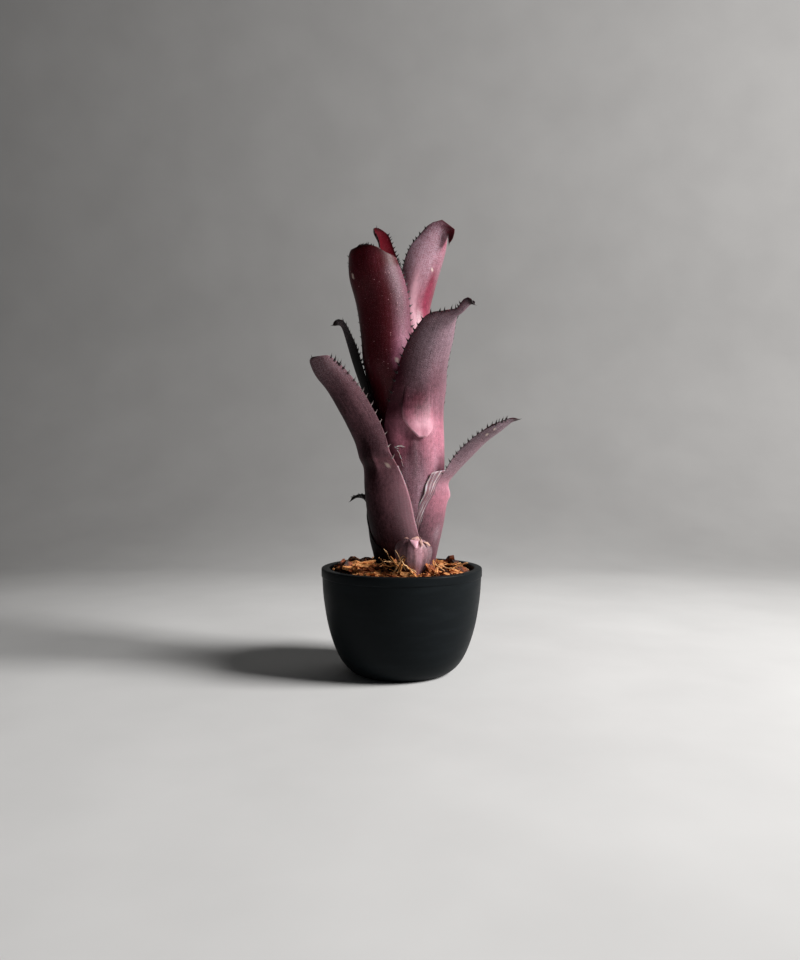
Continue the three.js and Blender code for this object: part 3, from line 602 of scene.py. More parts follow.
# Each leaf has its layer in the nest, counted inwards, its sheath as (height, half angle), and its blade as
# rows: distance from the axis, heading, height, width, half angle of its curl, twist, and how much it hugs.
# Its teeth start at a share of its length, and their pitch narrows toward the tip.
LEAVES = [
    {
        "name": "leaf_low_back", "layer": -0.15, "heading": 150, "relief": hugging_margins,
        "sheath": [(80, 88), (96, 84), (105, 58), (114, 36), (124, 20)],
        "blade": [
            (34.6, 150, 133, 12, 30, 0, 0.6), (39, 150, 138.3, 12, 46, 0, 0),
            (43.5, 151, 139.8, 10.5, 50, 0, 0), (48, 152, 139.4, 8.5, 50, 0, 0),
            (52.3, 153, 136.6, 3, 30, 0, 0),
        ],
        "teeth_from": 0.82, "tooth_pitch": (3.4, 2.8), "tooth_height": 1.4,
        "paint": paint_leaf([(0, 0.0), (90, 0.0)], [(0, 0.0), (90, 0.05)], tip=14.0),
    },
    {
        "name": "leaf_low_left", "layer": 1, "heading": -152,
        "sheath": [(82, 84), (104, 86), (124, 74), (146, 64), (164, 52)],
        "blade": [
            (37.5, -152, 173, 59, 45, 4, 0.8), (39.8, -152, 186, 45, 50, 12, 0.2),
            (46.5, -153, 201, 39.5, 60, 18, 0), (55.5, -154, 214.5, 41, 68, 18, 0),
            (64.5, -155, 227.5, 39, 70, 18, 0), (72.5, -156, 237.5, 36, 68, 18, 0),
            (77, -156, 245.5, 28, 60, 18, 0), (79.5, -156, 250, 9, 40, 18, 0),
        ],
        "teeth_from": 0.56, "tooth_pitch": (7.4, 3.4), "tooth_height": 2.6, "spine_dryness_and_sheen": 1.0,
        "paint": paint_leaf(
            [(0, 0.0), (60, 0.05), (90, 0.12), (110, 0.2), (130, 0.14), (201, 0.14)],
            [(0, 0.0), (100, 0.02), (130, 0.12), (170, 0.28), (181, 0.55), (192, 0.95), (204, 1.1)],
            blush_across=[(-1, -0.15), (0, -0.05), (0.3, 0), (0.6, 0.14), (1, 0.14)],
            bloom_across=[(-1, -0.2), (0, -0.08), (0.4, 0.0), (0.7, 0.2), (1, 0.3)],
            # The rosy mark at 109 mm and the silvery and rosy marks at 68 and 72 mm by the right margin are
            # painted highlights on the tube.
            marks=[("blush", 0.5, 80, 0.95, 36, 0.3), ("blush", 0.5, 109, 0.48, 8, 0.07),
                   ("blush", -0.5, 112, 0.2, 13, 0.22), ("blush", 0.2, 88, 0.55, 22, 0.16),
                   ("bloom", 0.9, 68, 0.82, 26, 0.2), ("blush", 0.6, 72, 0.84, 22, 0.2),
                   ("paper", 1, 108, 0.76, 2.8, 0.045)], tip=1.5),
    },
    {
        "name": "leaf_low_right", "layer": 2, "heading": -14, "shift": (2.4, 1.0),
        "sheath": [(84, 64), (104, 63), (120, 58), (134, 50)],
        "blade": [
            (32.5, -14, 145, 45, 42, 0, 1), (33, -15, 153.8, 37, 40, 2, 0.6),
            (39.5, -17, 161.3, 34.5, 52, 0, 0.1), (49.2, -18, 171.2, 34.5, 76, 1, 0),
            (63.2, -19, 185, 29, 80, 0, 0), (75.7, -20, 193.4, 24.5, 76, 0, 0),
            (84, -20, 200.2, 13.5, 60, 0, 0), (90.5, -20, 202.5, 1.6, 40, 0, 0),
        ],
        "teeth_from": 0.58, "tooth_pitch": (4.8, 3.4), "tooth_height": 2.2,
        "paint": paint_leaf(
            [(0, 0.1), (45, 0.15), (66, 0.36), (80, 0.8), (92, 0.85), (104, 0.4), (168, 0.2)],
            [(0, 0.1), (60, 0.14), (80, 0.2), (106, 0.75), (168, 0.85)],
            blush_across=[(-1, -0.2), (-0.4, -0.05), (0, 0.05), (0.5, 0.1)],
            # The pale mark at 85 mm is a painted highlight on the shoulder fold.
            marks=[("paper", 1, 144, -0.7, 2.0, 0.07), ("paper", 1, 151, -0.75, 1.5, 0.07),
                   ("bloom", 0.6, 52, -0.35, 6, 0.14), ("pale", 0.5, 85, 0.1, 8, 0.12)]),
        "relief": shoulder,
    },
    {
        "name": "leaf_front", "layer": 3, "heading": -60,
        "sheath": [(86, 78), (110, 76), (135, 72), (160, 68), (185, 66), (204, 63)],
        "blade": [
            (31, -60, 219, 58.5, 59, 0, 0.85), (35.5, -59.4, 234, 55, 60, 0, 0.3),
            (41.2, -59.2, 248, 51, 60, 0, 0), (48.2, -58.8, 260.5, 45.5, 61, 0, 0),
            (55.2, -58.7, 271.5, 35, 62, 0, 0), (63.5, -58.2, 276.2, 18, 66, 0, 0),
            (72.5, -57, 279.2, 9, 76, 0, 0), (80.5, -56, 284, 11, 90, 0, 0),
            (84.5, -55, 283.2, 8.5, 90, 0, 0),
        ],
        "teeth_from": 0.62, "tooth_pitch": (6.4, 2.8), "tooth_height": 2.3, "spine_splay": 0.25,
        "relief": front_relief,
        "paint": paint_leaf(
            [(0, 0.14), (60, 0.2), (95, 0.34), (118, 0.5), (138, 0.5), (150, 0.2), (172, 0.1), (249, 0.1)],
            [(0, 0.3), (80, 0.4), (116, 0.2), (138, 0.14), (150, 0.35), (172, 0.55), (200, 0.9),
             (230, 1.1), (249, 1)],
            blush_across=[(-1, -0.35), (-0.6, -0.2), (-0.3, -0.12), (0, 0), (1, 0)],
            bloom_across=[(-1, -0.7), (-0.6, -0.34), (-0.2, 0), (1, 0)],
            # The dark blush marks at 110 and 115 mm are painted shade in the fold under the lip, and the
            # pale mark at 136 mm is partly a painted highlight on the lip.
            marks=[("blush", 0.45, 104, 0.6, 38, 0.5), ("blush", -0.45, 110, -0.24, 18, 0.13),
                   ("blush", 0.55, 130, -0.62, 12, 0.14), ("blush", -0.3, 115, -0.38, 9, 0.1),
                   ("bloom", 0.45, 97, -0.46, 14, 0.1), ("bloom", 0.5, 86, -0.08, 22, 0.12),
                   ("bloom", 0.6, 212, -0.5, 16, 0.35), ("bloom", -0.4, 157, -0.2, 12, 0.25),
                   ("bloom", -0.25, 172, 0.25, 14, 0.3), ("bloom", 0.3, 108, 0.36, 12, 0.2),
                   ("blush", -0.9, 228, -0.44, 2.5, 0.12), ("bloom", -0.8, 228, -0.44, 2.5, 0.12),
                   ("pale", 0.75, 136, -0.12, 6, 0.35), ("bloom", 0.5, 100, 0.25, 14, 0.05)]),
    },
    {
        "name": "leaf_mid_left", "layer": 4, "heading": 177,
        "sheath": [(90, 70), (120, 64), (150, 56), (175, 46), (195, 36)],
        "blade": [
            (31.5, 177, 213, 40, 28, 4, 0.8), (36.5, 177, 232, 41, 22, 10, 0.2),
            (43, 177, 254, 35, 20, 14, 0), (48, 177, 268.5, 24, 22, 14, 0),
            (53, 177, 280.8, 14.5, 26, 14, 0), (59.5, 177, 280.5, 6, 26, 14, 0),
        ],
        "teeth_from": 0.6, "tooth_pitch": (5.4, 3.2), "tooth_height": 2.0,
        "paint": paint_leaf([(0, 0.1), (220, 0.05)], [(0, 0.0), (190, 0.0), (218, 0.95)]),
    },
    {
        "name": "leaf_mid_back", "layer": 5, "heading": 68,
        "sheath": [(92, 78), (120, 76), (150, 72), (180, 66), (200, 58)],
        "blade": [
            (29, 68, 218, 52, 52, 0, 0.85), (35, 68, 238, 46, 58, 0, 0.2), (44, 68, 260, 42, 62, 0, 0),
            (53, 68, 278, 36, 62, 0, 0), (59, 68, 290, 22, 56, 0, 0), (62, 68, 297, 5, 40, 0, 0),
        ],
        "teeth_from": 0.62, "tooth_pitch": (6.4, 3.2), "tooth_height": 2.4,
        "paint": paint_leaf([(0, 0.4), (150, 0.7), (250, 0.3)], [(0, 0.2), (150, 0.3), (200, 0.8)]),
    },
    {
        "name": "leaf_top_left", "layer": 6, "heading": -126,
        "sheath": [(94, 78), (125, 78), (155, 76), (185, 74), (208, 72)],
        "blade": [
            (29.5, -126, 227, 63, 72, 4, 0.7), (35.8, -125, 247, 63.5, 80, 12, 0.1),
            (37.7, -124.8, 271, 62, 84, 18, 0), (41, -125, 294, 63.5, 86, 20, 0),
            (47, -128, 314, 59, 84, 20, 0), (48.6, -129, 326, 52, 76, 20, 0),
            (48.7, -129, 332, 45, 68, 20, 0), (48.5, -129, 335, 32, 52, 20, 0),
        ],
        "teeth_from": 0.65, "tooth_pitch": (6.6, 3), "tooth_height": 2.0,
        "spine_splay": 1.0, "end_spines": 9, "cut_back": slanting_end,
        "paint": paint_leaf(
            [(0, 0.0), (150, 0.0), (248, 0.0), (259, -0.4)],
            [(0, 0.0), (160, 0.0), (230, 0.06), (248, 0.08), (259, -0.4)],
            # The rosy and silvery band down the right side is partly the leaf's own colour and partly a
            # painted sheen.
            blush_across=[(-1, 0), (0.3, 0), (0.5, 0.04), (0.75, 0.16), (1, 0.25)],
            bloom_across=[(-1, -0.2), (0, -0.1), (0.34, -0.04), (0.6, 0.34), (1, 0.25)],
            inner_blush=0.05, tip=4.0,
            # The dark bloom, blush and dry marks near 265 mm are painted shade over a lit fold at the end's
            # right corner, darkening its edge.
            marks=[("paper", 1, 250, -0.52, 2.6, 0.036), ("paper", 1, 181, 0.41, 3.0, 0.036),
                   ("paper", 0.8, 234, 0.48, 1.3, 0.02), ("blush", 0.75, 192, 0.62, 18, 0.22),
                   ("blush", 0.6, 181, 0.4, 6, 0.1), ("bloom", -0.9, 265, 0.75, 7, 0.35),
                   ("blush", -0.7, 265, 0.75, 7, 0.35), ("bloom", 0.2, 236, 0.62, 24, 0.2),
                   ("dry", 1.5, 269, 0.72, 4.5, 0.4)]),
    },
    {
        "name": "leaf_top_right", "layer": 7, "heading": -24,
        "sheath": [(96, 80), (130, 80), (160, 78), (190, 76), (220, 74)],
        "blade": [
            (20.5, -26, 245, 50, 70, -4, 0.9), (18.5, -28, 270, 48, 68, -10, 0.4),
            (16.5, -30, 290, 48, 68, -14, 0), (20, -30, 306, 50, 68, -16, 0),
            (25.5, -30, 323, 53, 70, -16, 0), (30.5, -30, 337, 47, 72, -16, 0),
            (34, -30, 347, 33, 76, -16, 0), (37.5, -29, 349, 16, 76, -16, 0),
            (38, -28, 340.5, 6, 60, -16, 0),
        ],
        "teeth_from": 0.62, "teeth_to": 281, "tooth_pitch": (5.4, 3), "tooth_height": 1.5,
        "paint": paint_leaf(
            [(0, 0.4), (200, 0.8), (222, 0.6), (250, 0.42), (272, 0.5), (284, 0.5), (288, -0.4)],
            [(0, 0.1), (200, 0.1), (230, 0.16), (255, 0.82), (283, 1.0), (286, -0.2)],
            blush_across=[(-1, -0.25), (-0.5, 0), (0.2, -0.1), (1, -0.3)],
            bloom_across=[(-1, 0.1), (-0.2, 0.1), (0.2, -0.2), (0.6, -0.45)], inner_blush=0.1, tip=8.0,
            # The pale marks at 216 and 238 mm are a painted highlight along a glossy strip, and the blush
            # and bloom marks at 277 mm are painted light over the shadow the hood casts.
            marks=[("paper", 1, 254, -0.08, 1.0, 0.024), ("pale", 0.95, 216, -0.5, 22, 0.14),
                   ("pale", 0.9, 238, -0.52, 14, 0.12), ("bloom", -0.55, 242, 0.05, 20, 0.18),
                   ("dry", 0.7, 284, -1, 12, 0.1),
                   ("blush", 0.4, 277, 0.2, 6, 0.2), ("bloom", -0.5, 277, 0.2, 6, 0.2)]),
    },
    {
        "name": "leaf_top_back", "layer": 8, "heading": 136,
        "sheath": [(98, 80), (130, 80), (165, 78), (200, 76), (230, 72)],
        "blade": [
            (20, 136, 255, 40, 62, 0, 0.8), (20.5, 136, 280, 34, 58, 0, 0.2),
            (23, 136, 305, 28, 56, 0, 0), (24.8, 136, 330, 27.5, 58, 0, 0),
            (28, 135.5, 347.5, 20.5, 58, 3, 0), (33, 135.5, 357.8, 20, 54, 1, 0),
            (33.4, 136, 365, 15, 44, 0, 0),
        ],
        "teeth_from": 0.68, "tooth_pitch": (5, 2.8), "tooth_height": 2.3, "tip_round": 7,
        "paint": paint_leaf([(0, 0.1), (200, 0)], [(0, 0.1), (200, 0.1)], inner_blush=0.0, tip=4.0,
                            marks=[("dry", 1, 290, 1, 60, 0.12), ("dry", 1, 290, -1, 60, 0.12)]),
    },
]


# Dark, rosy and silvery colour, roughness, gloss, freckles, colour of the inner face and of the dried tip
LEAF_LOOKS = {
    "leaf_low_back": ("#120609", "#4d2c34", "#5d5257", 0.55, 0.1, 0.1, "#1c090d", "#0b0505"),
    "leaf_low_left": ("#20040b", "#b87f8c", "#80696f", 0.5, 0.08, 0.3, "#35131b", "#2a1512"),
    "leaf_low_right": ("#3a1722", "#b46a7d", "#a3929b", 0.4, 0.35, 0.5, "#4a2430", "#24100f"),
    "leaf_front": ("#3c0c1b", "#c67a8e", "#a18894", 0.4, 0.4, 0.4, "#431622", "#1d0d10"),
    "leaf_mid_left": ("#0c0506", "#2c181d", "#6c6266", 0.6, 0.1, 0.1, "#0e0607", "#160a0b"),
    "leaf_mid_back": ("#3c1620", "#a06a77", "#857a82", 0.42, 0.4, 0.4, "#47161f", "#1d0d10"),
    "leaf_top_left": ("#43020d", "#a5607a", "#84707d", 0.42, 0.32, 1.0, "#5a0612", "#2c0509"),
    "leaf_top_right": ("#4c0818", "#a84661", "#c3a7b5", 0.3, 0.4, 0.5, "#5e0312", "#3d050e"),
    "leaf_top_back": ("#4c0410", "#8d4d5c", "#8f747f", 0.6, 0.03, 0.2, "#4a000c", "#2c0509"),
    "offset_shoot": ("#300813", "#b98890", "#8a7a80", 0.38, 0.3, 0.2, "#40141c", "#c9a08f"),
}


# Grains of the leaf skin: size across and along the leaf in mm, and detail
SKIN_GRAINS = {
    "veins": (0.7, 34.0, 3.0), "clouds": (11.0, 19.0, 3.0), "mottle": (2.4, 3.6, 4.0),
    "specks": (0.55, 0.6, 2.0), "bands": (3.5, 1.2, 3.0),
}
FRECKLES_PER_MM = 0.3
FRECKLE = "#b98a8f"
GLINT = "#cdbfc6"
# pale pink of thick folds and the lip, also used as painted highlights on glossy strips and folds
PALE_PINK_AND_HIGHLIGHT = "#d9a5b3"
SCAR = "#dccabf"


def share_sum(tree, *patterns):
    """The sum of patterns, each brought from its own span (low, high) to its own share (least, most)."""
    total = 0.0
    for pattern, low, high, least, most in patterns:
        share = node(tree, "ShaderNodeMapRange", {
            "Value": pattern, "From Min": low, "From Max": high, "To Min": least, "To Max": most,
        }).outputs[0]
        total = node(tree, "ShaderNodeMath", {0: total, 1: share}, operation="ADD").outputs[0]
    return total


def leaf_skin(name, deep, rosy, silver, roughness, gloss, freckles, inside, tip):
    """Fleshy leaf skin. Its dark pigment shows unevenly through a thin rosy layer, and silvery scales lie
    over it in short cross bands and fine specks, with a few pale freckles."""
    material, tree, shader = new_material(name, {
        "IOR": 1.42, "Specular IOR Level": gloss, "Sheen Weight": 0.02, "Sheen Roughness": 0.45,
        "Sheen Tint": linear("#d9c0cc"), "Subsurface Weight": 0.06,
        "Subsurface Radius": (0.004, 0.0012, 0.0010), "Subsurface Scale": 1.0,
    })
    uv = node(tree, "ShaderNodeUVMap", uv_map="surface_mm").outputs["UV"]
    values = {
        key: node(tree, "ShaderNodeAttribute", attribute_name=key).outputs["Fac"] for key in LEAF_VALUES}
    grains = {}
    for grain, (across_mm, along_mm, detail) in SKIN_GRAINS.items():
        scale = (1 / across_mm, 1 / along_mm, 1.0)
        mapped = node(tree, "ShaderNodeMapping", {"Vector": uv, "Scale": scale}).outputs["Vector"]
        grains[grain] = node(
            tree, "ShaderNodeTexNoise", {"Vector": mapped, "Scale": 1.0, "Detail": detail}).outputs["Fac"]
    veins, clouds, mottle, specks, bands = grains.values()

    # Dark and rosy pigment
    patches = share_sum(
        tree, (clouds, 0.3, 0.7, -0.14, 0.14), (mottle, 0.3, 0.7, -0.14, 0.14),
        (veins, 0.3, 0.7, -0.12, 0.12), (specks, 0.3, 0.7, -0.14, 0.14))
    strength = share_sum(tree, (values["blush"], 0.0, 0.7, 0.2, 0.9))
    uneven = node(tree, "ShaderNodeMath", {
        0: patches, 1: strength, 2: values["blush"]}, operation="MULTIPLY_ADD", use_clamp=True).outputs[0]
    colour = node(tree, "ShaderNodeMix", {
        0: uneven, 6: linear(deep), 7: linear(rosy)}, data_type="RGBA").outputs[2]
    upper_face = node(
        tree, "ShaderNodeMath", {0: values["inner"], 1: 0.85}, operation="MULTIPLY").outputs[0]
    colour = node(tree, "ShaderNodeMix", {
        0: upper_face, 6: colour, 7: linear(inside)}, data_type="RGBA").outputs[2]
    shade = share_sum(tree, (mottle, 0.3, 0.7, 0.4, 0.6), (specks, 0.3, 0.7, 0.28, 0.72))
    colour = node(tree, "ShaderNodeVectorMath", {0: colour, "Scale": shade}, operation="SCALE").outputs[0]

    # Scales, painted glints, pale folds with painted highlights, freckles, scars and the dry tip over it,
    # each coat as thick as the product of its cover values
    woven = share_sum(
        tree, (specks, 0.38, 0.66, 0.0, 0.5), (bands, 0.42, 0.62, 0.0, 0.15),
        (veins, 0.4, 0.65, 0.0, 0.2), (mottle, 0.4, 0.62, 0.0, 0.15))
    thick = share_sum(tree, (woven, 0.0, 0.85, 0.1, 1.0))
    scales = node(tree, "ShaderNodeMath", {0: values["bloom"], 1: thick}, operation="MULTIPLY").outputs[0]
    cells = node(tree, "ShaderNodeTexVoronoi", {"Vector": uv, "Scale": FRECKLES_PER_MM, "Randomness": 1.0})
    chance = node(tree, "ShaderNodeSeparateColor", {"Color": cells.outputs["Color"]}).outputs[0]
    dots = share_sum(tree, (cells.outputs["Distance"], 0.13, 0.06, 0.0, 1.0))
    chosen = share_sum(tree, (chance, 0.4, 0.6, 0.0, 1.0))
    for paint, cover, *more_cover in (
        (silver, scales),
        (GLINT, values["bloom"], share_sum(tree, (specks, 0.58, 0.7, 0.0, 0.5))),
        (PALE_PINK_AND_HIGHLIGHT, values["pale"], share_sum(tree, (mottle, 0.3, 0.6, 0.75, 1.0))),
        (FRECKLE, dots, chosen, freckles),
        (FRECKLE, share_sum(tree, (specks, 0.6, 0.7, 0.0, 0.3)), freckles),
        (SCAR, values["paper"]),
        (tip, values["dry"]),
    ):
        for value in more_cover:
            cover = node(tree, "ShaderNodeMath", {0: cover, 1: value}, operation="MULTIPLY").outputs[0]
        colour = node(tree, "ShaderNodeMix", {
            0: cover, 6: colour, 7: linear(paint)}, data_type="RGBA").outputs[2]
    tree.links.new(colour, shader.inputs["Base Color"])

    dull = node(tree, "ShaderNodeMath", {0: mottle, 1: 0.3, 2: scales}, operation="MULTIPLY_ADD").outputs[0]
    roughness_here = share_sum(tree, (dull, 0.1, 0.9, roughness, roughness + 0.22))
    tree.links.new(roughness_here, shader.inputs["Roughness"])
    height = 0.0
    for grain, depth in ((veins, 0.8), (mottle, 0.8), (specks, 0.3)):
        height = node(
            tree, "ShaderNodeMath", {0: grain, 1: depth, 2: height}, operation="MULTIPLY_ADD").outputs[0]
    bump = node(tree, "ShaderNodeBump", {"Height": height, "Strength": 0.4, "Distance": 0.0004})
    tree.links.new(bump.outputs[0], shader.inputs["Normal"])
    return material


def spine_horn():
    """Hard, glossy horn of the spines: almost black, and greyish tan where a spine is dry or where a pale
    tone paints a sheen on it.
    """
    material, tree, shader = new_material("spine_horn", {"Roughness": 0.34, "IOR": 1.5})
    tone = node(tree, "ShaderNodeAttribute", attribute_name="paper").outputs["Fac"]
    colour = node(tree, "ShaderNodeMix", {
        0: tone, 6: linear("#17090b"), 7: linear("#a08f8d")}, data_type="RGBA").outputs[2]
    tree.links.new(colour, shader.inputs["Base Color"])
    return material


# Camera, floor and light
def add_camera():
    """The photograph's viewpoint and angle of view."""
    camera = bpy.data.cameras.new("camera")
    camera.lens = LENS
    camera.sensor_width = FILM
    holder = bpy.data.objects.new("camera", camera)
    holder.location = EYE * MM
    holder.rotation_euler = (math.radians(90 - DOWNWARD_TILT), 0, 0)
    bpy.context.scene.collection.objects.link(holder)
    bpy.context.scene.camera = holder
    bpy.context.scene.view_settings.view_transform = VIEW_TRANSFORM


def add_area_light(name, place, aim, size, power, colour):
    """A soft rectangular light, placed in metres and aimed at a point."""
    light = bpy.data.lights.new(name, "AREA")
    light.shape = "RECTANGLE"
    light.size, light.size_y = size
    light.energy = power
    light.color = linear(colour)[:3]
    holder = bpy.data.objects.new(name, light)
    holder.location = place
    holder.rotation_euler = (Vector(aim) - Vector(place)).to_track_quat("-Z", "Y").to_euler()
    bpy.context.scene.collection.objects.link(holder)


FLOOR_SIZE = (6.0, 3.4)  # metres, as are the next three
FLOOR_SHIFT = -0.6
BACKDROP_HEIGHT = 2.6
SWEEP_RADIUS = 0.5


def painted_board():
    """Matte painted board with a painted pool of light: paler near the object and darker farther off, with
    faint clouds.
    """
    material, tree, shader = new_material("painted_board", {"Roughness": 0.85})
    place = node(tree, "ShaderNodeTexCoord").outputs["Object"]
    grain = node(tree, "ShaderNodeTexNoise", {"Vector": place, "Scale": 9.0, "Detail": 4.0}).outputs["Fac"]
    reach = node(tree, "ShaderNodeVectorMath", {0: place}, operation="LENGTH").outputs["Value"]
    painted_light_pool = node(tree, "ShaderNodeMapRange", {
        "Value": reach, "From Min": 0.25, "From Max": 1.0}, interpolation_type="SMOOTHSTEP").outputs[0]
    paint = node(tree, "ShaderNodeMix", {
        0: painted_light_pool, 6: linear("#cfd0cf"), 7: linear("#8f8f8e")}, data_type="RGBA").outputs[2]
    cloud = share_sum(tree, (grain, 0.3, 0.7, 0.96, 1.04))
    shade = node(tree, "ShaderNodeVectorMath", {0: paint, "Scale": cloud}, operation="SCALE").outputs[0]
    tree.links.new(shade, shader.inputs["Base Color"])
    return material


def add_stage():
    """A pale floor that sweeps up into a plain grey backdrop."""
    bpy.ops.object.select_all(action="DESELECT")
    bpy.ops.mesh.primitive_plane_add(size=1)
    floor = bpy.context.object
    floor.name = "floor"
    floor.data.transform(Matrix.Diagonal((*FLOOR_SIZE, 1.0, 1.0)))
    floor.data.transform(Matrix.Translation((0, FLOOR_SHIFT, 0)))
    bpy.ops.object.mode_set(mode="EDIT")
    bpy.ops.mesh.select_mode(type="EDGE")
    bpy.ops.mesh.select_all(action="DESELECT")
    bpy.ops.object.mode_set(mode="OBJECT")
    for edge in floor.data.edges:
        edge.select = all(floor.data.vertices[i].co.y > 0 for i in edge.vertices)
    bpy.ops.object.mode_set(mode="EDIT")
    bpy.ops.mesh.extrude_region_move(TRANSFORM_OT_translate={"value": (0, 0, BACKDROP_HEIGHT)})
    bpy.ops.object.mode_set(mode="OBJECT")
    sweep = floor.modifiers.new("sweep", "BEVEL")
    sweep.width = SWEEP_RADIUS
    sweep.segments = 24
    sweep.limit_method = "ANGLE"
    bpy.ops.object.modifier_apply(modifier="sweep")
    bpy.ops.object.shade_smooth()
    floor.data.materials.append(painted_board())


def light_scene():
    """One strong soft light high on the right, with a weak one in front and a faint sky."""
    add_area_light("key", (1.85, -0.55, 1.35), (0, 0, 0.2), (0.9, 0.9), 96, "#fffcfb")
    add_area_light("fill", (0.7, -2.2, 0.9), (0, 0, 0.18), (1.6, 1.6), 0.7, "#f0f4ff")
    world = bpy.data.worlds.new("studio")
    world.use_nodes = True
    world.node_tree.nodes["Background"].inputs["Color"].default_value = linear("#b9bcc0")
    world.node_tree.nodes["Background"].inputs["Strength"].default_value = 0.02
    bpy.context.scene.world = world


# The lip of the front leaf, as (share across, mm along), and the dry skins beside two sheath margins
FRONT_LIP = [
    (-0.66, 158), (-0.62, 149), (-0.55, 140), (-0.38, 132), (-0.2, 126), (-0.04, 126), (0.12, 132),
    (0.22, 142),
]
LIP_TOP = 178.0
LIP_HEIGHT = 4.2
RIGHT_DRY_SKIN = [(44, 0.5), (56, 3.5), (72, 6.5), (86, 8.6), (95, 9.4), (103, 9)]
LEFT_DRY_SKIN = [(46, 0.4), (60, 0.8), (90, 1), (108, 0.6)]

# Shreds of dry skin on the front leaf: mm along, share across, length, breadth, turn in degrees
SHREDS = [
    (119.5, -0.6, 5, 0.8, 12), (119, -0.53, 4, 0.5, -8), (118, -0.66, 4, 0.6, -30),
    (115, -0.62, 4, 0.5, -58), (111, -0.57, 5, 0.4, -66), (106, -0.53, 5, 0.3, -72),
    (60, -0.1, 7, 0.4, 70), (52, -0.05, 6, 0.4, 80),
]


def dry_skin():
    """Thin dried leaf margin: pinkish brown, with silvery glossy streaks along it."""
    material, tree, shader = new_material("dry_papery_skin", {
        "Roughness": 0.3, "IOR": 1.5, "Subsurface Weight": 0.15, "Subsurface Scale": 0.002})
    uv = node(tree, "ShaderNodeUVMap", uv_map="surface_mm").outputs["UV"]
    mapped = node(tree, "ShaderNodeMapping", {"Vector": uv, "Scale": (1.1, 0.045, 1.0)}).outputs["Vector"]
    streaks = node(
        tree, "ShaderNodeTexNoise", {"Vector": mapped, "Scale": 1.0, "Detail": 4.0}).outputs["Fac"]
    ramp = node(tree, "ShaderNodeValToRGB", {"Fac": streaks})
    ramp.color_ramp.elements[0].position = 0.4
    ramp.color_ramp.elements[0].color = linear("#6f4650")
    ramp.color_ramp.elements[1].position = 0.68
    ramp.color_ramp.elements[1].color = linear("#e9dcdc")
    middle = ramp.color_ramp.elements.new(0.55)
    middle.color = linear("#94707a")
    edges = node(tree, "ShaderNodeAttribute", attribute_name="paper").outputs["Fac"]
    colour = node(tree, "ShaderNodeMix", {
        0: edges, 6: ramp.outputs["Color"], 7: linear("#f3eaea")}, data_type="RGBA").outputs[2]
    tree.links.new(colour, shader.inputs["Base Color"])
    bump = node(tree, "ShaderNodeBump", {"Height": streaks, "Strength": 0.6, "Distance": 0.0006})
    tree.links.new(bump.outputs[0], shader.inputs["Normal"])
    return material


def place_piece(piece, replaced):
    """Sets a finished piece on the body and in place of the plain solid."""
    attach(piece, "root")
    if replaced:
        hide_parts(replaced)


def add_leaves(horn, papery):
    """Every leaf with its spines, the front one's lip and shreds, and the dry margins of two sheaths."""
    for leaf in LEAVES:
        name = leaf["name"]
        shift = leaf.get("shift", (0, 0))
        surface, line = leaf_surface(leaf, leaf_rows(leaf), (AXIS[0] + shift[0], AXIS[1] + shift[1]))
        if name == "leaf_front":
            add_lip(surface, leaf, line, FRONT_LIP, LIP_TOP, LIP_HEIGHT)
            for shred in SHREDS:
                add_shred(surface, leaf, line, *shred, 2)
        if name == "leaf_low_right":
            add_papery_margin(surface, leaf, line, -1, RIGHT_DRY_SKIN, 2, 0.85)
        if name == "leaf_low_left":
            add_papery_margin(surface, leaf, line, 1, LEFT_DRY_SKIN, 2, 0.65)
        skin = leaf_skin("skin_of_" + name, *LEAF_LOOKS[name])
        place_piece(surface.build(name + "_skin", [skin, horn, papery]), name)


# The offset: bracts round a young bud. Rows are z, how far out of the bud, heading and half angle.
SHOOT_AXIS = (8.1, -43.6)
SHOOT_TUBE = [(68, 4.2), (78, 5), (87, 7), (94, 10.6), (101, 12.6), (108, 11.6), (113, 9)]
CORE_SIDES = 32


def torn_tip(a):
    """How far the pale torn tip is bitten back, in mm, from one side to the other."""
    bites = [
        (-1, 1.5), (-0.8, 0), (-0.35, 0.5), (-0.2, 3.5), (0, 0.5), (0.15, 3.5), (0.35, 2.5), (0.5, 7),
        (1, 12),
    ]
    return np.interp(a, *zip(*bites))


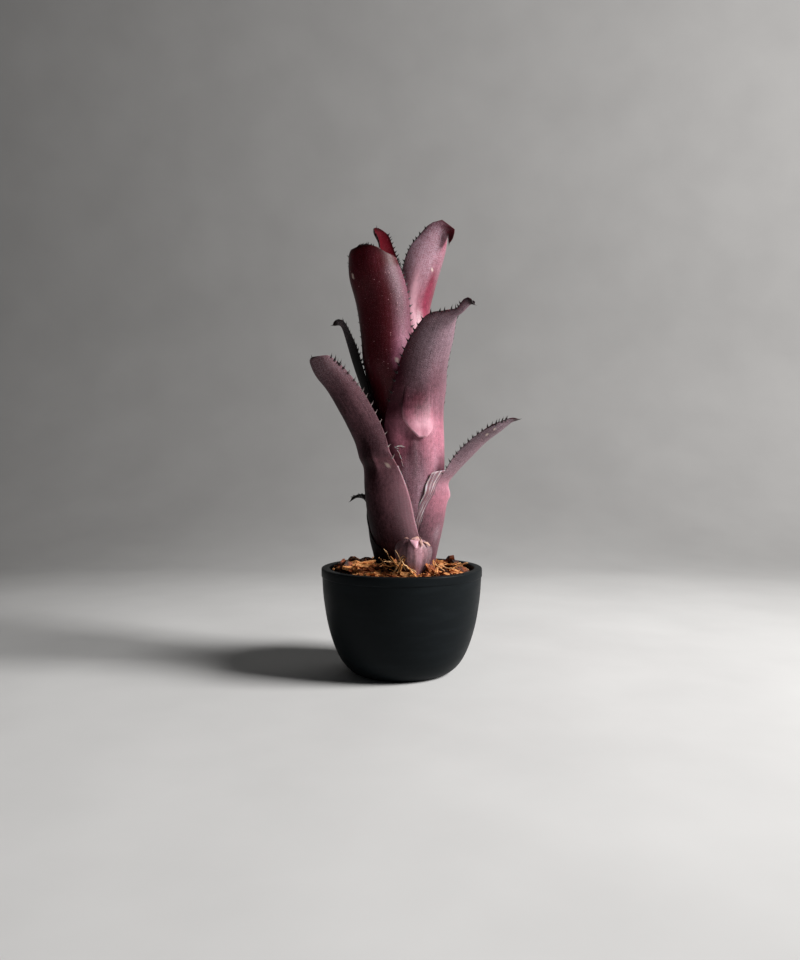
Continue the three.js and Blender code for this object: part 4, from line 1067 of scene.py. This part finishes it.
BRACTS = [
    {
        "name": "left_bract", "layer": 11, "relief": ribs, "tip_round": 7, "thickness": 1.1,
        "rows": [
            (76, 0.2, -150, 66), (86, 0.5, -148, 72), (96, 0.7, -144, 70), (105, 0.6, -138, 56),
            (113, -1.4, -126, 26),
        ],
        "paint": paint_leaf([(0, 0.1), (20, 0.25), (36, 0.3)], [(0, 0.1), (36, 0.25)], tip=1.0),
    },
    {
        "name": "right_bract", "layer": 13, "relief": ribs, "tip_round": 5, "thickness": 1.1,
        "rows": [
            (76, 0.1, -10, 56), (88, 0.3, -12, 74), (97, 0.3, -14, 70), (105, -0.6, -18, 44),
            (109, -2.6, -24, 10),
        ],
        "paint": paint_leaf([(0, 0.2), (20, 0.3), (36, 0.35)], [(0, 0.2), (36, 0.3)], tip=1.5),
    },
    {
        "name": "front_bract", "layer": 12, "relief": ribs, "tip_round": 2, "thickness": 1.1,
        "cut_back": torn_tip,
        "rows": [
            (77, 1.4, -52, 48), (86, 2.0, -52, 55), (96, 2.5, -52, 56), (105, 2.3, -54, 52),
            (114, 0.5, -58, 46),
        ],
        "paint": paint_leaf(
            [(0, 0.05), (12, 0.16), (24, 0.36), (38, 0.6)], [(0, 0.16), (20, 0.16), (38, 0.15)],
            blush_across=[(-1, 0.15), (-0.6, 0.2), (-0.42, 0.35), (-0.2, 0.35), (0, 0), (1, -0.4)],
            bloom_across=[(-1, 0), (-0.1, 0), (0.3, 0.35), (1, 0.4)], tip=3.0,
            # The first pale mark is a painted highlight across the bract's middle.
            marks=[("pale", 0.6, 20, -0.32, 9, 0.12), ("pale", 0.7, 30, -0.75, 2.5, 0.12)]),
    },
]

# Torn scraps on the front bract: mm along, share across and lift of the four corners of each
BRACT_SCRAPS = [
    ((36.8, -0.97, 0.2), (35.6, -0.3, 0.3), (29.4, -0.56, 1.6), (29.2, -0.5, 1.6)),
    ((35.4, -0.26, 0.2), (36.6, -0.05, 0.9), (31, -0.2, 0.8), (31.4, -0.12, 1.4)),
    ((34.6, 0.02, 0.2), (34.0, 0.3, 1.0), (30.5, 0.26, 1.8), (30.9, 0.32, 2.0)),
]
SCRAP_DRYNESS = [0.0, 0.7, 1.0]


def add_offset(papery):
    """The young shoot: a closed core with three bracts round it, the front one torn."""
    surface = Surface()
    inner = [(r - 0.6, z) for z, r in SHOOT_TUBE[:5]]
    core = [(0, BED_FLOOR), (3, BED_FLOOR), *inner, (9.2, 105.5), (5.5, 109), (0, 110.5)]
    around = np.linspace(0, 2 * math.pi, CORE_SIDES, endpoint=False)
    rings = [[(SHOOT_AXIS[0] + max(r, 0.02) * math.cos(t), SHOOT_AXIS[1] + max(r, 0.02) * math.sin(t), z)
              for t in around] for r, z in core]
    faces = grid_faces(len(core), CORE_SIDES)
    top = CORE_SIDES * (len(core) - 1)
    faces += [tuple(reversed(range(CORE_SIDES))), tuple(range(top, top + CORE_SIDES))]
    surface.add(np.array(rings), faces, 0, blush=0.2)
    for bract in BRACTS:
        rows = [sheath_row(np.interp(z, *zip(*SHOOT_TUBE)) + grow, heading, z, half)
                for z, grow, heading, half in bract["rows"]]
        made, line = leaf_surface(bract, rows, SHOOT_AXIS)
        if bract["name"] == "front_bract":
            for corners, dry in zip(BRACT_SCRAPS, SCRAP_DRYNESS):
                add_scrap(made, bract, line, corners, 0, blush=1.0, pale=1.0 - dry, dry=dry)
        surface.join(made)
    skin = leaf_skin("skin_of_offset", *LEAF_LOOKS["offset_shoot"])
    place_piece(surface.build("offset_bracts", [skin, papery]), "offset_shoot")


# Bark bed
BARK_SEED = 41
ROSETTE_FOOT = 23.5  # radius of the bark that the rosette takes up
SHOOT_FOOT = 7.0
HEAP = (-32, -26)  # middle of a small heap at the left
HEAP_SPREAD = (18, 16)
BED_LOW = 1.6  # how far the bed of crumbs lies under the chips' mean height
BED_RINGS = 32
BED_SPOKES = 96
CHIP_COUNT = 540
CHIP_SHAPES = 12
CHIP_CUTS = 6
CHIP_BEVEL = 0.011  # share of a chip's length
CHIP_ROOM = 2.5
FIBRE_ROOM = 1.0
SLENDER = 0.9  # width and height of a pale marked chip, as shares of the carved shape's
CHUNKY = 1.7  # the same for a dark one
FIBRE_COUNT = 260
STRAND_SIDES = 5
STRAND_STATIONS = 13
# The standing fibres' girth also lightens their tone, a painted light.
STANDING_GIRTH = 1.7
STANDING_KINK = 0.035


def bark_height(x, y):
    """The bark's mean height: a low heap, a little lower at the right and at the back."""
    return SOIL_TOP + 1 + 6 * (1 - (x * x + y * y) / RIM_RADIUS ** 2) - 2 * 0.7 * (x + y) / RIM_RADIUS


def free_of_plant(x, y, room):
    """Whether a place in the bark lies outside the rosette's foot and the offset's."""
    return (math.hypot(x - AXIS[0], y - AXIS[1]) > ROSETTE_FOOT + room
            and math.hypot(x - SHOOT_AXIS[0], y - SHOOT_AXIS[1]) > SHOOT_FOOT + room)


def carve_chip(draw):
    """One splinter of bark: a block cut down by a few slanting planes, its edges slightly broken."""
    bpy.ops.object.select_all(action="DESELECT")
    bpy.ops.mesh.primitive_cube_add(size=1)
    chip = bpy.context.object
    chip.data.transform(Matrix.Diagonal((1.0, draw.uniform(0.2, 0.5), draw.uniform(0.09, 0.2), 1.0)))
    bpy.ops.object.mode_set(mode="EDIT")
    for _ in range(CHIP_CUTS):
        slant = (draw.uniform(-0.6, 0.6), draw.uniform(-1, 1), draw.uniform(-0.7, 0.7))
        normal = Vector(slant).normalized()
        bpy.ops.mesh.select_all(action="SELECT")
        bpy.ops.mesh.bisect(
            plane_co=normal * draw.uniform(0.13, 0.3), plane_no=normal, use_fill=True, clear_outer=True)
    bpy.ops.mesh.select_all(action="SELECT")
    bpy.ops.mesh.bevel(offset=CHIP_BEVEL, segments=1)
    bpy.ops.object.mode_set(mode="OBJECT")
    vertices = np.array([v.co[:] for v in chip.data.vertices])
    faces = [tuple(face.vertices) for face in chip.data.polygons]
    bpy.data.objects.remove(chip)
    return vertices, faces


# Chips that stand out in the photograph: x, y, height over the bed, length, heading, tilt, tone
MARKED_CHIPS = [
    (-43, -30, 7.5, 13, 20, 30, 0.12), (-45, -27, 6.0, 12, -40, 50, 0.2),
    (-40, -36, 5.0, 14, -10, 12, 0.9), (-29, -34, 5.0, 15, 15, 12, 1.0),
    (-22, -38, 4.5, 13, -25, -20, 0.9), (-34, -38, 3.5, 14, 35, 10, 1.0), (6, -54, 4.5, 15, 5, 4, 1.1),
    (38, -17, 8.5, 11, 70, 58, 0.15), (40, -18, 7.0, 11, 110, 40, 0.05),
    (19, -48, 8.5, 11, 50, 55, 0.45), (24, -45, 6.5, 11, -20, 35, 0.4),
    (30, -38, 3.0, 15, -35, 15, 0.95), (43, -26, 3.0, 15, -28, 18, 0.8),
    (-14, -47, 2.4, 15, 10, 8, 0.85), (47, -6, 2.6, 12, 30, 30, 0.3), (-36, 2, 5.0, 14, -30, 30, 0.55),
    (9, -53, 1.6, 13, -15, 12, 0.75), (-25, -20, 3.4, 14, 50, 30, 0.35),
]

# Bark torn into flat splinters: x, y, half width, half depth, height over the bed, count, heading, tone
SHREDDED_BARK = [
    (-27, -40, 9, 6, 6.5, 46, 4, 0.9), (18, -49, 5, 4, 5.5, 20, 62, 0.75),
    (36, -32, 10, 7, 3.5, 30, -28, 0.8), (0, -54, 13, 2.5, 4.5, 26, 0, 0.8),
    (-24, -50, 12, 2.5, 4.5, 22, -18, 0.9),
]


# Fibres standing up round the offset: middle, heading, rise over the whole length, length
STANDING_FIBRES = [
    (-1, -54, 96, 0, -15, 17), (-1, -54, 96, 180, -13, 15), (-4, -55, 93, 0, -13, 16),
    (5, -56, 96, 0, -9, 13), (-8, -54, 95, 5, -1, 11), (4, -57, 91, 20, -11, 14),
    (-3, -55, 92, 170, -12, 15), (1, -56, 94, 30, 13, 15), (-3, -50, 94, 95, 16, 19),
    (-1, -51, 93, 60, 14, 18), (2, -52, 94, 130, 10, 17), (-6, -47, 92, 170, 8, 18),
    (-12, -42, 92, 150, 9, 16), (4, -53, 90, -30, -9, 18), (7, -54, 89, -50, -10, 16),
    (-16, -38, 91, 20, 3, 15), (-9, -46, 88, 10, 4, 17), (-2, -52, 87, 200, 5, 16),
    (0, -50, 94, 85, 12, 12), (-14, -41, 89, -20, 6, 14), (30, -34, 90, -40, -5, 19),
    (34, -30, 91, -25, -3, 20), (28, -37, 89, -55, -4, 16), (40, -22, 89, -35, 2, 17),
    (47, -15, 88, -20, 3, 12), (24, -42, 91, 80, 8, 10), (-9, -46, 97, 10, -14, 17),
    (-8, -50, 92, 5, 1, 15), (6, -55, 91, -35, -7, 14), (33, -38, 89, -30, -2, 18),
    (38, -28, 90, -15, 3, 16), (-24, -42, 92, 8, 2, 20),
]


def add_strand(surface, draw, middle, heading, rise, length, girth=1.0, kink=0.07):
    """One bent fibre, thinner at its ends."""
    turn = math.radians(heading)
    ahead = np.array([math.cos(turn), math.sin(turn), 0.0]) * math.sqrt(max(length ** 2 - rise ** 2, 4))
    ahead[2] = rise
    end = [(0, 0, 0)]
    kinks = end + [tuple(draw.gauss(0, kink) * length for _ in range(3)) for _ in range(4)] + end
    controls = [np.array(middle) + ahead * (k / 5 - 0.5) + bend for k, bend in enumerate(kinks)]
    path = spline(controls, STRAND_STATIONS)
    thick = girth * draw.uniform(0.2, 0.5)
    along = unit(np.gradient(path, axis=0))
    side = unit(np.cross(along, (0.3, 0.2, 1.0)))
    up = np.cross(side, along)
    rings = []
    for k, centre in enumerate(path):
        reach = thick * (0.25 + 0.75 * math.sin(math.pi * (k + 0.6) / 13.2) ** 0.5)
        for j in range(STRAND_SIDES):
            angle = 2 * math.pi * j / STRAND_SIDES
            rings.append(centre + side[k] * reach * math.cos(angle) + up[k] * reach * 0.7 * math.sin(angle))
    faces = [face[::-1] for face in grid_faces(STRAND_STATIONS, STRAND_SIDES)]
    faces += [tuple(range(STRAND_SIDES)), tuple(reversed(range(len(rings) - STRAND_SIDES, len(rings))))]
    uvs = [(j * 0.4, k * length / (STRAND_STATIONS - 1))
           for k in range(STRAND_STATIONS) for j in range(STRAND_SIDES)]
    # Tone grows with girth, so the stout standing fibres are painted lighter: painted light where the
    # offset's shadow falls on them.
    surface.add(np.array(rings), faces, 0, uvs, tone=min(draw.uniform(0.15, 1) * girth, 1.1))


def add_bark_bed(crumbs):
    """A lumpy bed of crumbs under the chips, closed below."""
    turns = np.linspace(0, 2 * math.pi, BED_SPOKES + 1)[:-1]
    rings = []
    for r in np.linspace(0, MOUTH_RADIUS - 0.4, BED_RINGS):
        for t in turns:
            x = max(r, 0.05) * math.cos(t)
            y = max(r, 0.05) * math.sin(t)
            lump = noise.noise(Vector((x * 0.22, y * 0.22, 4.0))) * 2.4
            lump += noise.noise(Vector((x, y, 0.5))) * 0.9
            rings.append((x, y, bark_height(x, y) - BED_LOW + lump))
    rings += [
        (MOUTH_RADIUS * 0.99 * math.cos(t), MOUTH_RADIUS * 0.99 * math.sin(t), BED_FLOOR) for t in turns]
    faces = [face[::-1] for face in grid_faces(BED_RINGS + 1, BED_SPOKES)]
    faces += [tuple(range(BED_SPOKES)), tuple(reversed(range(len(rings) - BED_SPOKES, len(rings))))]
    bed = Surface(("tone",))
    bed.add(np.array(rings), faces, 0, tone=0.2)
    place_piece(bed.build("bark_bed", [crumbs]), "substrate")


def chip_places(draw):
    """Every chip as x, y, height over the bed, length, turn, tilt, tone and width for its length."""
    places = [
        (x, y, lift, size, math.radians(turn), math.radians(tilt), tone, CHUNKY if tone < 0.5 else SLENDER)
        for x, y, lift, size, turn, tilt, tone in MARKED_CHIPS]
    for x, y, width, depth, height, count, heading, tone in SHREDDED_BARK:
        for _ in range(count):
            east = draw.gauss(0, 0.5)
            north = draw.gauss(0, 0.5)
            lift = height * draw.uniform(0.1, 1) * math.exp(-east ** 2 - north ** 2)
            size = draw.uniform(8, 17)
            turn = math.radians(heading + draw.gauss(0, 22))
            tilt = draw.gauss(0, 0.22)
            own_tone = tone + draw.gauss(0, 0.2)
            slender = draw.uniform(0.3, 0.5)
            places.append((x + width * east, y + depth * north, lift, size, turn, tilt, own_tone, slender))
    wanted = CHIP_COUNT + len(places)
    while len(places) < wanted:
        r = (MOUTH_RADIUS - 4) * math.sqrt(draw.uniform(0.1, 1))
        t = draw.uniform(0, 2 * math.pi)
        x, y = r * math.cos(t), r * math.sin(t)
        if free_of_plant(x, y, CHIP_ROOM):
            size = draw.uniform(7, 19) if r < MOUTH_RADIUS - 9 else draw.uniform(6, 10)
            heap = math.exp(
                -((x - HEAP[0]) / HEAP_SPREAD[0]) ** 2 - ((y - HEAP[1]) / HEAP_SPREAD[1]) ** 2)
            front = smooth(-30, -52, y) * draw.uniform(1.5, 4.5)
            lift = draw.uniform(-1.2, 3.6) + 5 * heap * draw.random() + front
            # Chips on the heap are painted lighter: painted light where the plant's shadow falls on them.
            tone = draw.random() ** 1.3 + 0.15 * heap
            turn = draw.uniform(0, 2 * math.pi)
            places.append((x, y, lift, size, turn, draw.gauss(0, 0.4), tone, draw.uniform(0.6, 1)))
    return places


def add_chips(chip_bark, draw):
    """Bark chips of a few shapes in all sizes and turns, kept inside the pot's wall."""
    chips = Surface(("tone",))
    chips.smooth = False
    shapes = [carve_chip(draw) for _ in range(CHIP_SHAPES)]
    for x, y, lift, size, turn, tilt, tone, slender in chip_places(draw):
        vertices, faces = draw.choice(shapes)
        roll = Matrix.Rotation(draw.gauss(0, 0.35), 3, "X")
        pose = Matrix.Rotation(turn, 3, "Z") @ Matrix.Rotation(tilt, 3, "Y") @ roll
        stretch = np.array([1.0, slender * draw.uniform(0.9, 1.3), slender * draw.uniform(0.9, 1.4)]) * size
        placed = (vertices * stretch) @ np.array(pose).T + (x, y, bark_height(x, y) + lift)
        reach = np.hypot(placed[:, 0], placed[:, 1]).max()
        inward = max(reach - MOUTH_RADIUS + 0.5, 0) / math.hypot(x, y)
        placed -= (inward * x, inward * y, 0)
        chips.add(placed, faces, 0, uvs=(vertices * stretch)[:, :2] + draw.uniform(0, 90), tone=tone)
    place_piece(chips.build("bark_chips", [chip_bark]), None)


def add_fibres(coir, draw):
    """Loose fibres over the whole bed, and stouter ones that stand up round the offset."""
    fibres = Surface(("tone",))
    for _ in range(FIBRE_COUNT):
        length = draw.uniform(7, 20)
        r = (MOUTH_RADIUS - 1 - length / 2) * math.sqrt(draw.uniform(0.15, 1))
        t = draw.uniform(0, 2 * math.pi)
        x, y = r * math.cos(t), r * math.sin(t)
        if free_of_plant(x, y, FIBRE_ROOM):
            place = (x, y, bark_height(x, y) + draw.uniform(1.5, 4.0))
            add_strand(fibres, draw, place, draw.uniform(0, 360), draw.uniform(-2.0, 4.0), length)
    for x, y, z, heading, rise, length in STANDING_FIBRES:
        add_strand(fibres, draw, (x, y, z), heading, rise, length, STANDING_GIRTH, STANDING_KINK)
    place_piece(fibres.build("coir_fibres", [coir]), None)


def add_bark(chip_bark, crumbs, coir):
    """The bed of crumbs with its chips and fibres."""
    draw = random.Random(BARK_SEED)
    add_bark_bed(crumbs)
    add_chips(chip_bark, draw)
    add_fibres(coir, draw)


def bark_material(name, dark, middle, light, roughness, scale):
    """Rough broken wood: each chip has its own tone, with lengthwise fibres and dark pits."""
    material, tree, shader = new_material(name, {"Roughness": roughness, "IOR": 1.4})
    uv = node(tree, "ShaderNodeUVMap", uv_map="surface_mm").outputs["UV"]
    place = node(tree, "ShaderNodeTexCoord").outputs["Object"]
    tone = node(tree, "ShaderNodeAttribute", attribute_name="tone").outputs["Fac"]
    mapped = node(tree, "ShaderNodeMapping", {"Vector": uv, "Scale": (0.22, 1.5, 1.0)}).outputs["Vector"]
    grain = node(
        tree, "ShaderNodeTexNoise", {"Vector": mapped, "Scale": scale, "Detail": 4.0}).outputs["Fac"]
    pits = node(tree, "ShaderNodeTexNoise", {"Vector": place, "Scale": 420.0, "Detail": 5.0}).outputs["Fac"]
    mixed = node(tree, "ShaderNodeMath", {0: grain, 1: pits}, operation="ADD").outputs[0]
    spread = node(tree, "ShaderNodeMapRange", {
        "Value": mixed, "From Min": 0.75, "From Max": 1.25, "To Min": -0.3, "To Max": 0.3}).outputs[0]
    level = node(tree, "ShaderNodeMath", {0: tone, 1: spread}, operation="ADD", use_clamp=True).outputs[0]
    ramp = node(tree, "ShaderNodeValToRGB", {"Fac": level})
    ramp.color_ramp.elements[0].color = linear(dark)
    ramp.color_ramp.elements[1].color = linear(light)
    ramp.color_ramp.elements.new(0.5).color = linear(middle)
    tree.links.new(ramp.outputs["Color"], shader.inputs["Base Color"])
    bump = node(tree, "ShaderNodeBump", {"Height": mixed, "Strength": 0.8, "Distance": 0.0008})
    tree.links.new(bump.outputs[0], shader.inputs["Normal"])
    return material


# Pot profile: radius and height up the outside, then down the inside
POT_OUTSIDE = [
    (35.5, 0), (38.2, 0.6), (42, 2.8), (46.2, 6.6), (50.2, 12.2), (53.6, 19.2), (57, 28.6), (60, 40),
    (62.1, 52), (63.6, 64), (64.4, 77.4),
]
POT_RIM = [
    (64.4, 77.4), (64.65, 77.6), (64.9, 77.85), (65, 78.3), (65, 83.2), (64.9, 83.8), (64.6, 84.2),
    (64.2, 84.42), (63.7, 84.5), (59.6, 84.5), (59.1, 84.4), (58.75, 84.05), (58.6, 83.5), (58.6, 76),
]
POT_INSIDE = [
    (58.6, 76), (58.6, 62), (57, 46), (53.2, 31), (48, 19), (41.4, 10), (33, 5.6), (3, 5.0),
]
POT_SEGMENTS = 160


def add_pot(plastic):
    """The pot's wall: one ring drawn up the outside, over the rim and down the inside, then closed."""
    profile = [tuple(point) for point in spline(POT_OUTSIDE, 41)] + POT_RIM[1:]
    profile += [tuple(point) for point in spline(POT_INSIDE, 22)][1:]
    bpy.ops.object.select_all(action="DESELECT")
    bpy.ops.mesh.primitive_circle_add(
        vertices=POT_SEGMENTS, radius=profile[0][0] * MM, location=(0, 0, 0), fill_type="NGON")
    pot = bpy.context.object
    bpy.ops.object.mode_set(mode="EDIT")
    bpy.ops.mesh.select_all(action="SELECT")
    bpy.ops.mesh.flip_normals()
    bpy.ops.mesh.select_mode(type="EDGE")
    bpy.ops.mesh.select_all(action="DESELECT")
    bpy.ops.mesh.select_non_manifold()
    for (r0, z0), (r1, z1) in zip(profile, profile[1:]):
        bpy.ops.mesh.extrude_edges_move(TRANSFORM_OT_translate={"value": (0, 0, (z1 - z0) * MM)})
        if abs(r1 - r0) > 1e-6:
            bpy.ops.transform.resize(value=(r1 / r0, r1 / r0, 1))
    bpy.ops.mesh.edge_face_add()
    bpy.ops.mesh.select_all(action="SELECT")
    bpy.ops.mesh.normals_make_consistent(inside=False)
    bpy.ops.object.mode_set(mode="OBJECT")
    pot.name = "pot_wall"
    bpy.ops.object.shade_smooth_by_angle(angle=math.radians(40))
    pot.data.materials.append(plastic)
    place_piece(pot, "pot")


def pot_plastic():
    """Matte black moulded plastic: a fine grain, faint wiping marks and a little pale dust."""
    material, tree, shader = new_material("matte_black_plastic", {"IOR": 1.46, "Specular IOR Level": 0.06})
    place = node(tree, "ShaderNodeTexCoord").outputs["Object"]
    grain = node(
        tree, "ShaderNodeTexNoise", {"Vector": place, "Scale": 1400.0, "Detail": 2.0}).outputs["Fac"]
    stretched = node(
        tree, "ShaderNodeMapping", {"Vector": place, "Scale": (1.0, 1.0, 5.0)}).outputs["Vector"]
    smears = node(
        tree, "ShaderNodeTexNoise", {"Vector": stretched, "Scale": 26.0, "Detail": 5.0}).outputs["Fac"]
    dust = share_sum(tree, (smears, 0.5, 0.8, 0.0, 0.35))
    colour = node(tree, "ShaderNodeMix", {
        0: dust, 6: linear("#131719"), 7: linear("#22272a")}, data_type="RGBA").outputs[2]
    tree.links.new(colour, shader.inputs["Base Color"])
    dull = share_sum(tree, (smears, 0.3, 0.75, 0.4, 0.52))
    tree.links.new(dull, shader.inputs["Roughness"])
    bump = node(tree, "ShaderNodeBump", {"Height": grain, "Strength": 0.25, "Distance": 0.00015})
    tree.links.new(bump.outputs[0], shader.inputs["Normal"])
    return material


def finish_stem():
    """The short stem keeps its plain solid, with a corky skin."""
    material, tree, shader = new_material("corky_stem", {"Roughness": 0.85})
    place = node(tree, "ShaderNodeTexCoord").outputs["Object"]
    cork = node(tree, "ShaderNodeTexNoise", {"Vector": place, "Scale": 300.0, "Detail": 4.0}).outputs["Fac"]
    colour = node(tree, "ShaderNodeMix", {
        0: cork, 6: linear("#3a2418"), 7: linear("#8a6444")}, data_type="RGBA").outputs[2]
    tree.links.new(colour, shader.inputs["Base Color"])
    stem = bpy.data.objects["stem"]
    stem.data.materials.clear()
    stem.data.materials.append(material)


add_camera()
add_stage()
light_scene()
papery = dry_skin()
add_leaves(spine_horn(), papery)
add_offset(papery)
add_bark(
    bark_material("bark_chip_wood", "#150805", "#93491f", "#f0a868", 0.7, 1.0),
    bark_material("bark_crumbs", "#0c0604", "#24120b", "#5a331d", 0.9, 0.7),
    bark_material("coir_fibre", "#a5602c", "#d8924e", "#f7c48c", 0.7, 1.0))
add_pot(pot_plastic())
finish_stem()
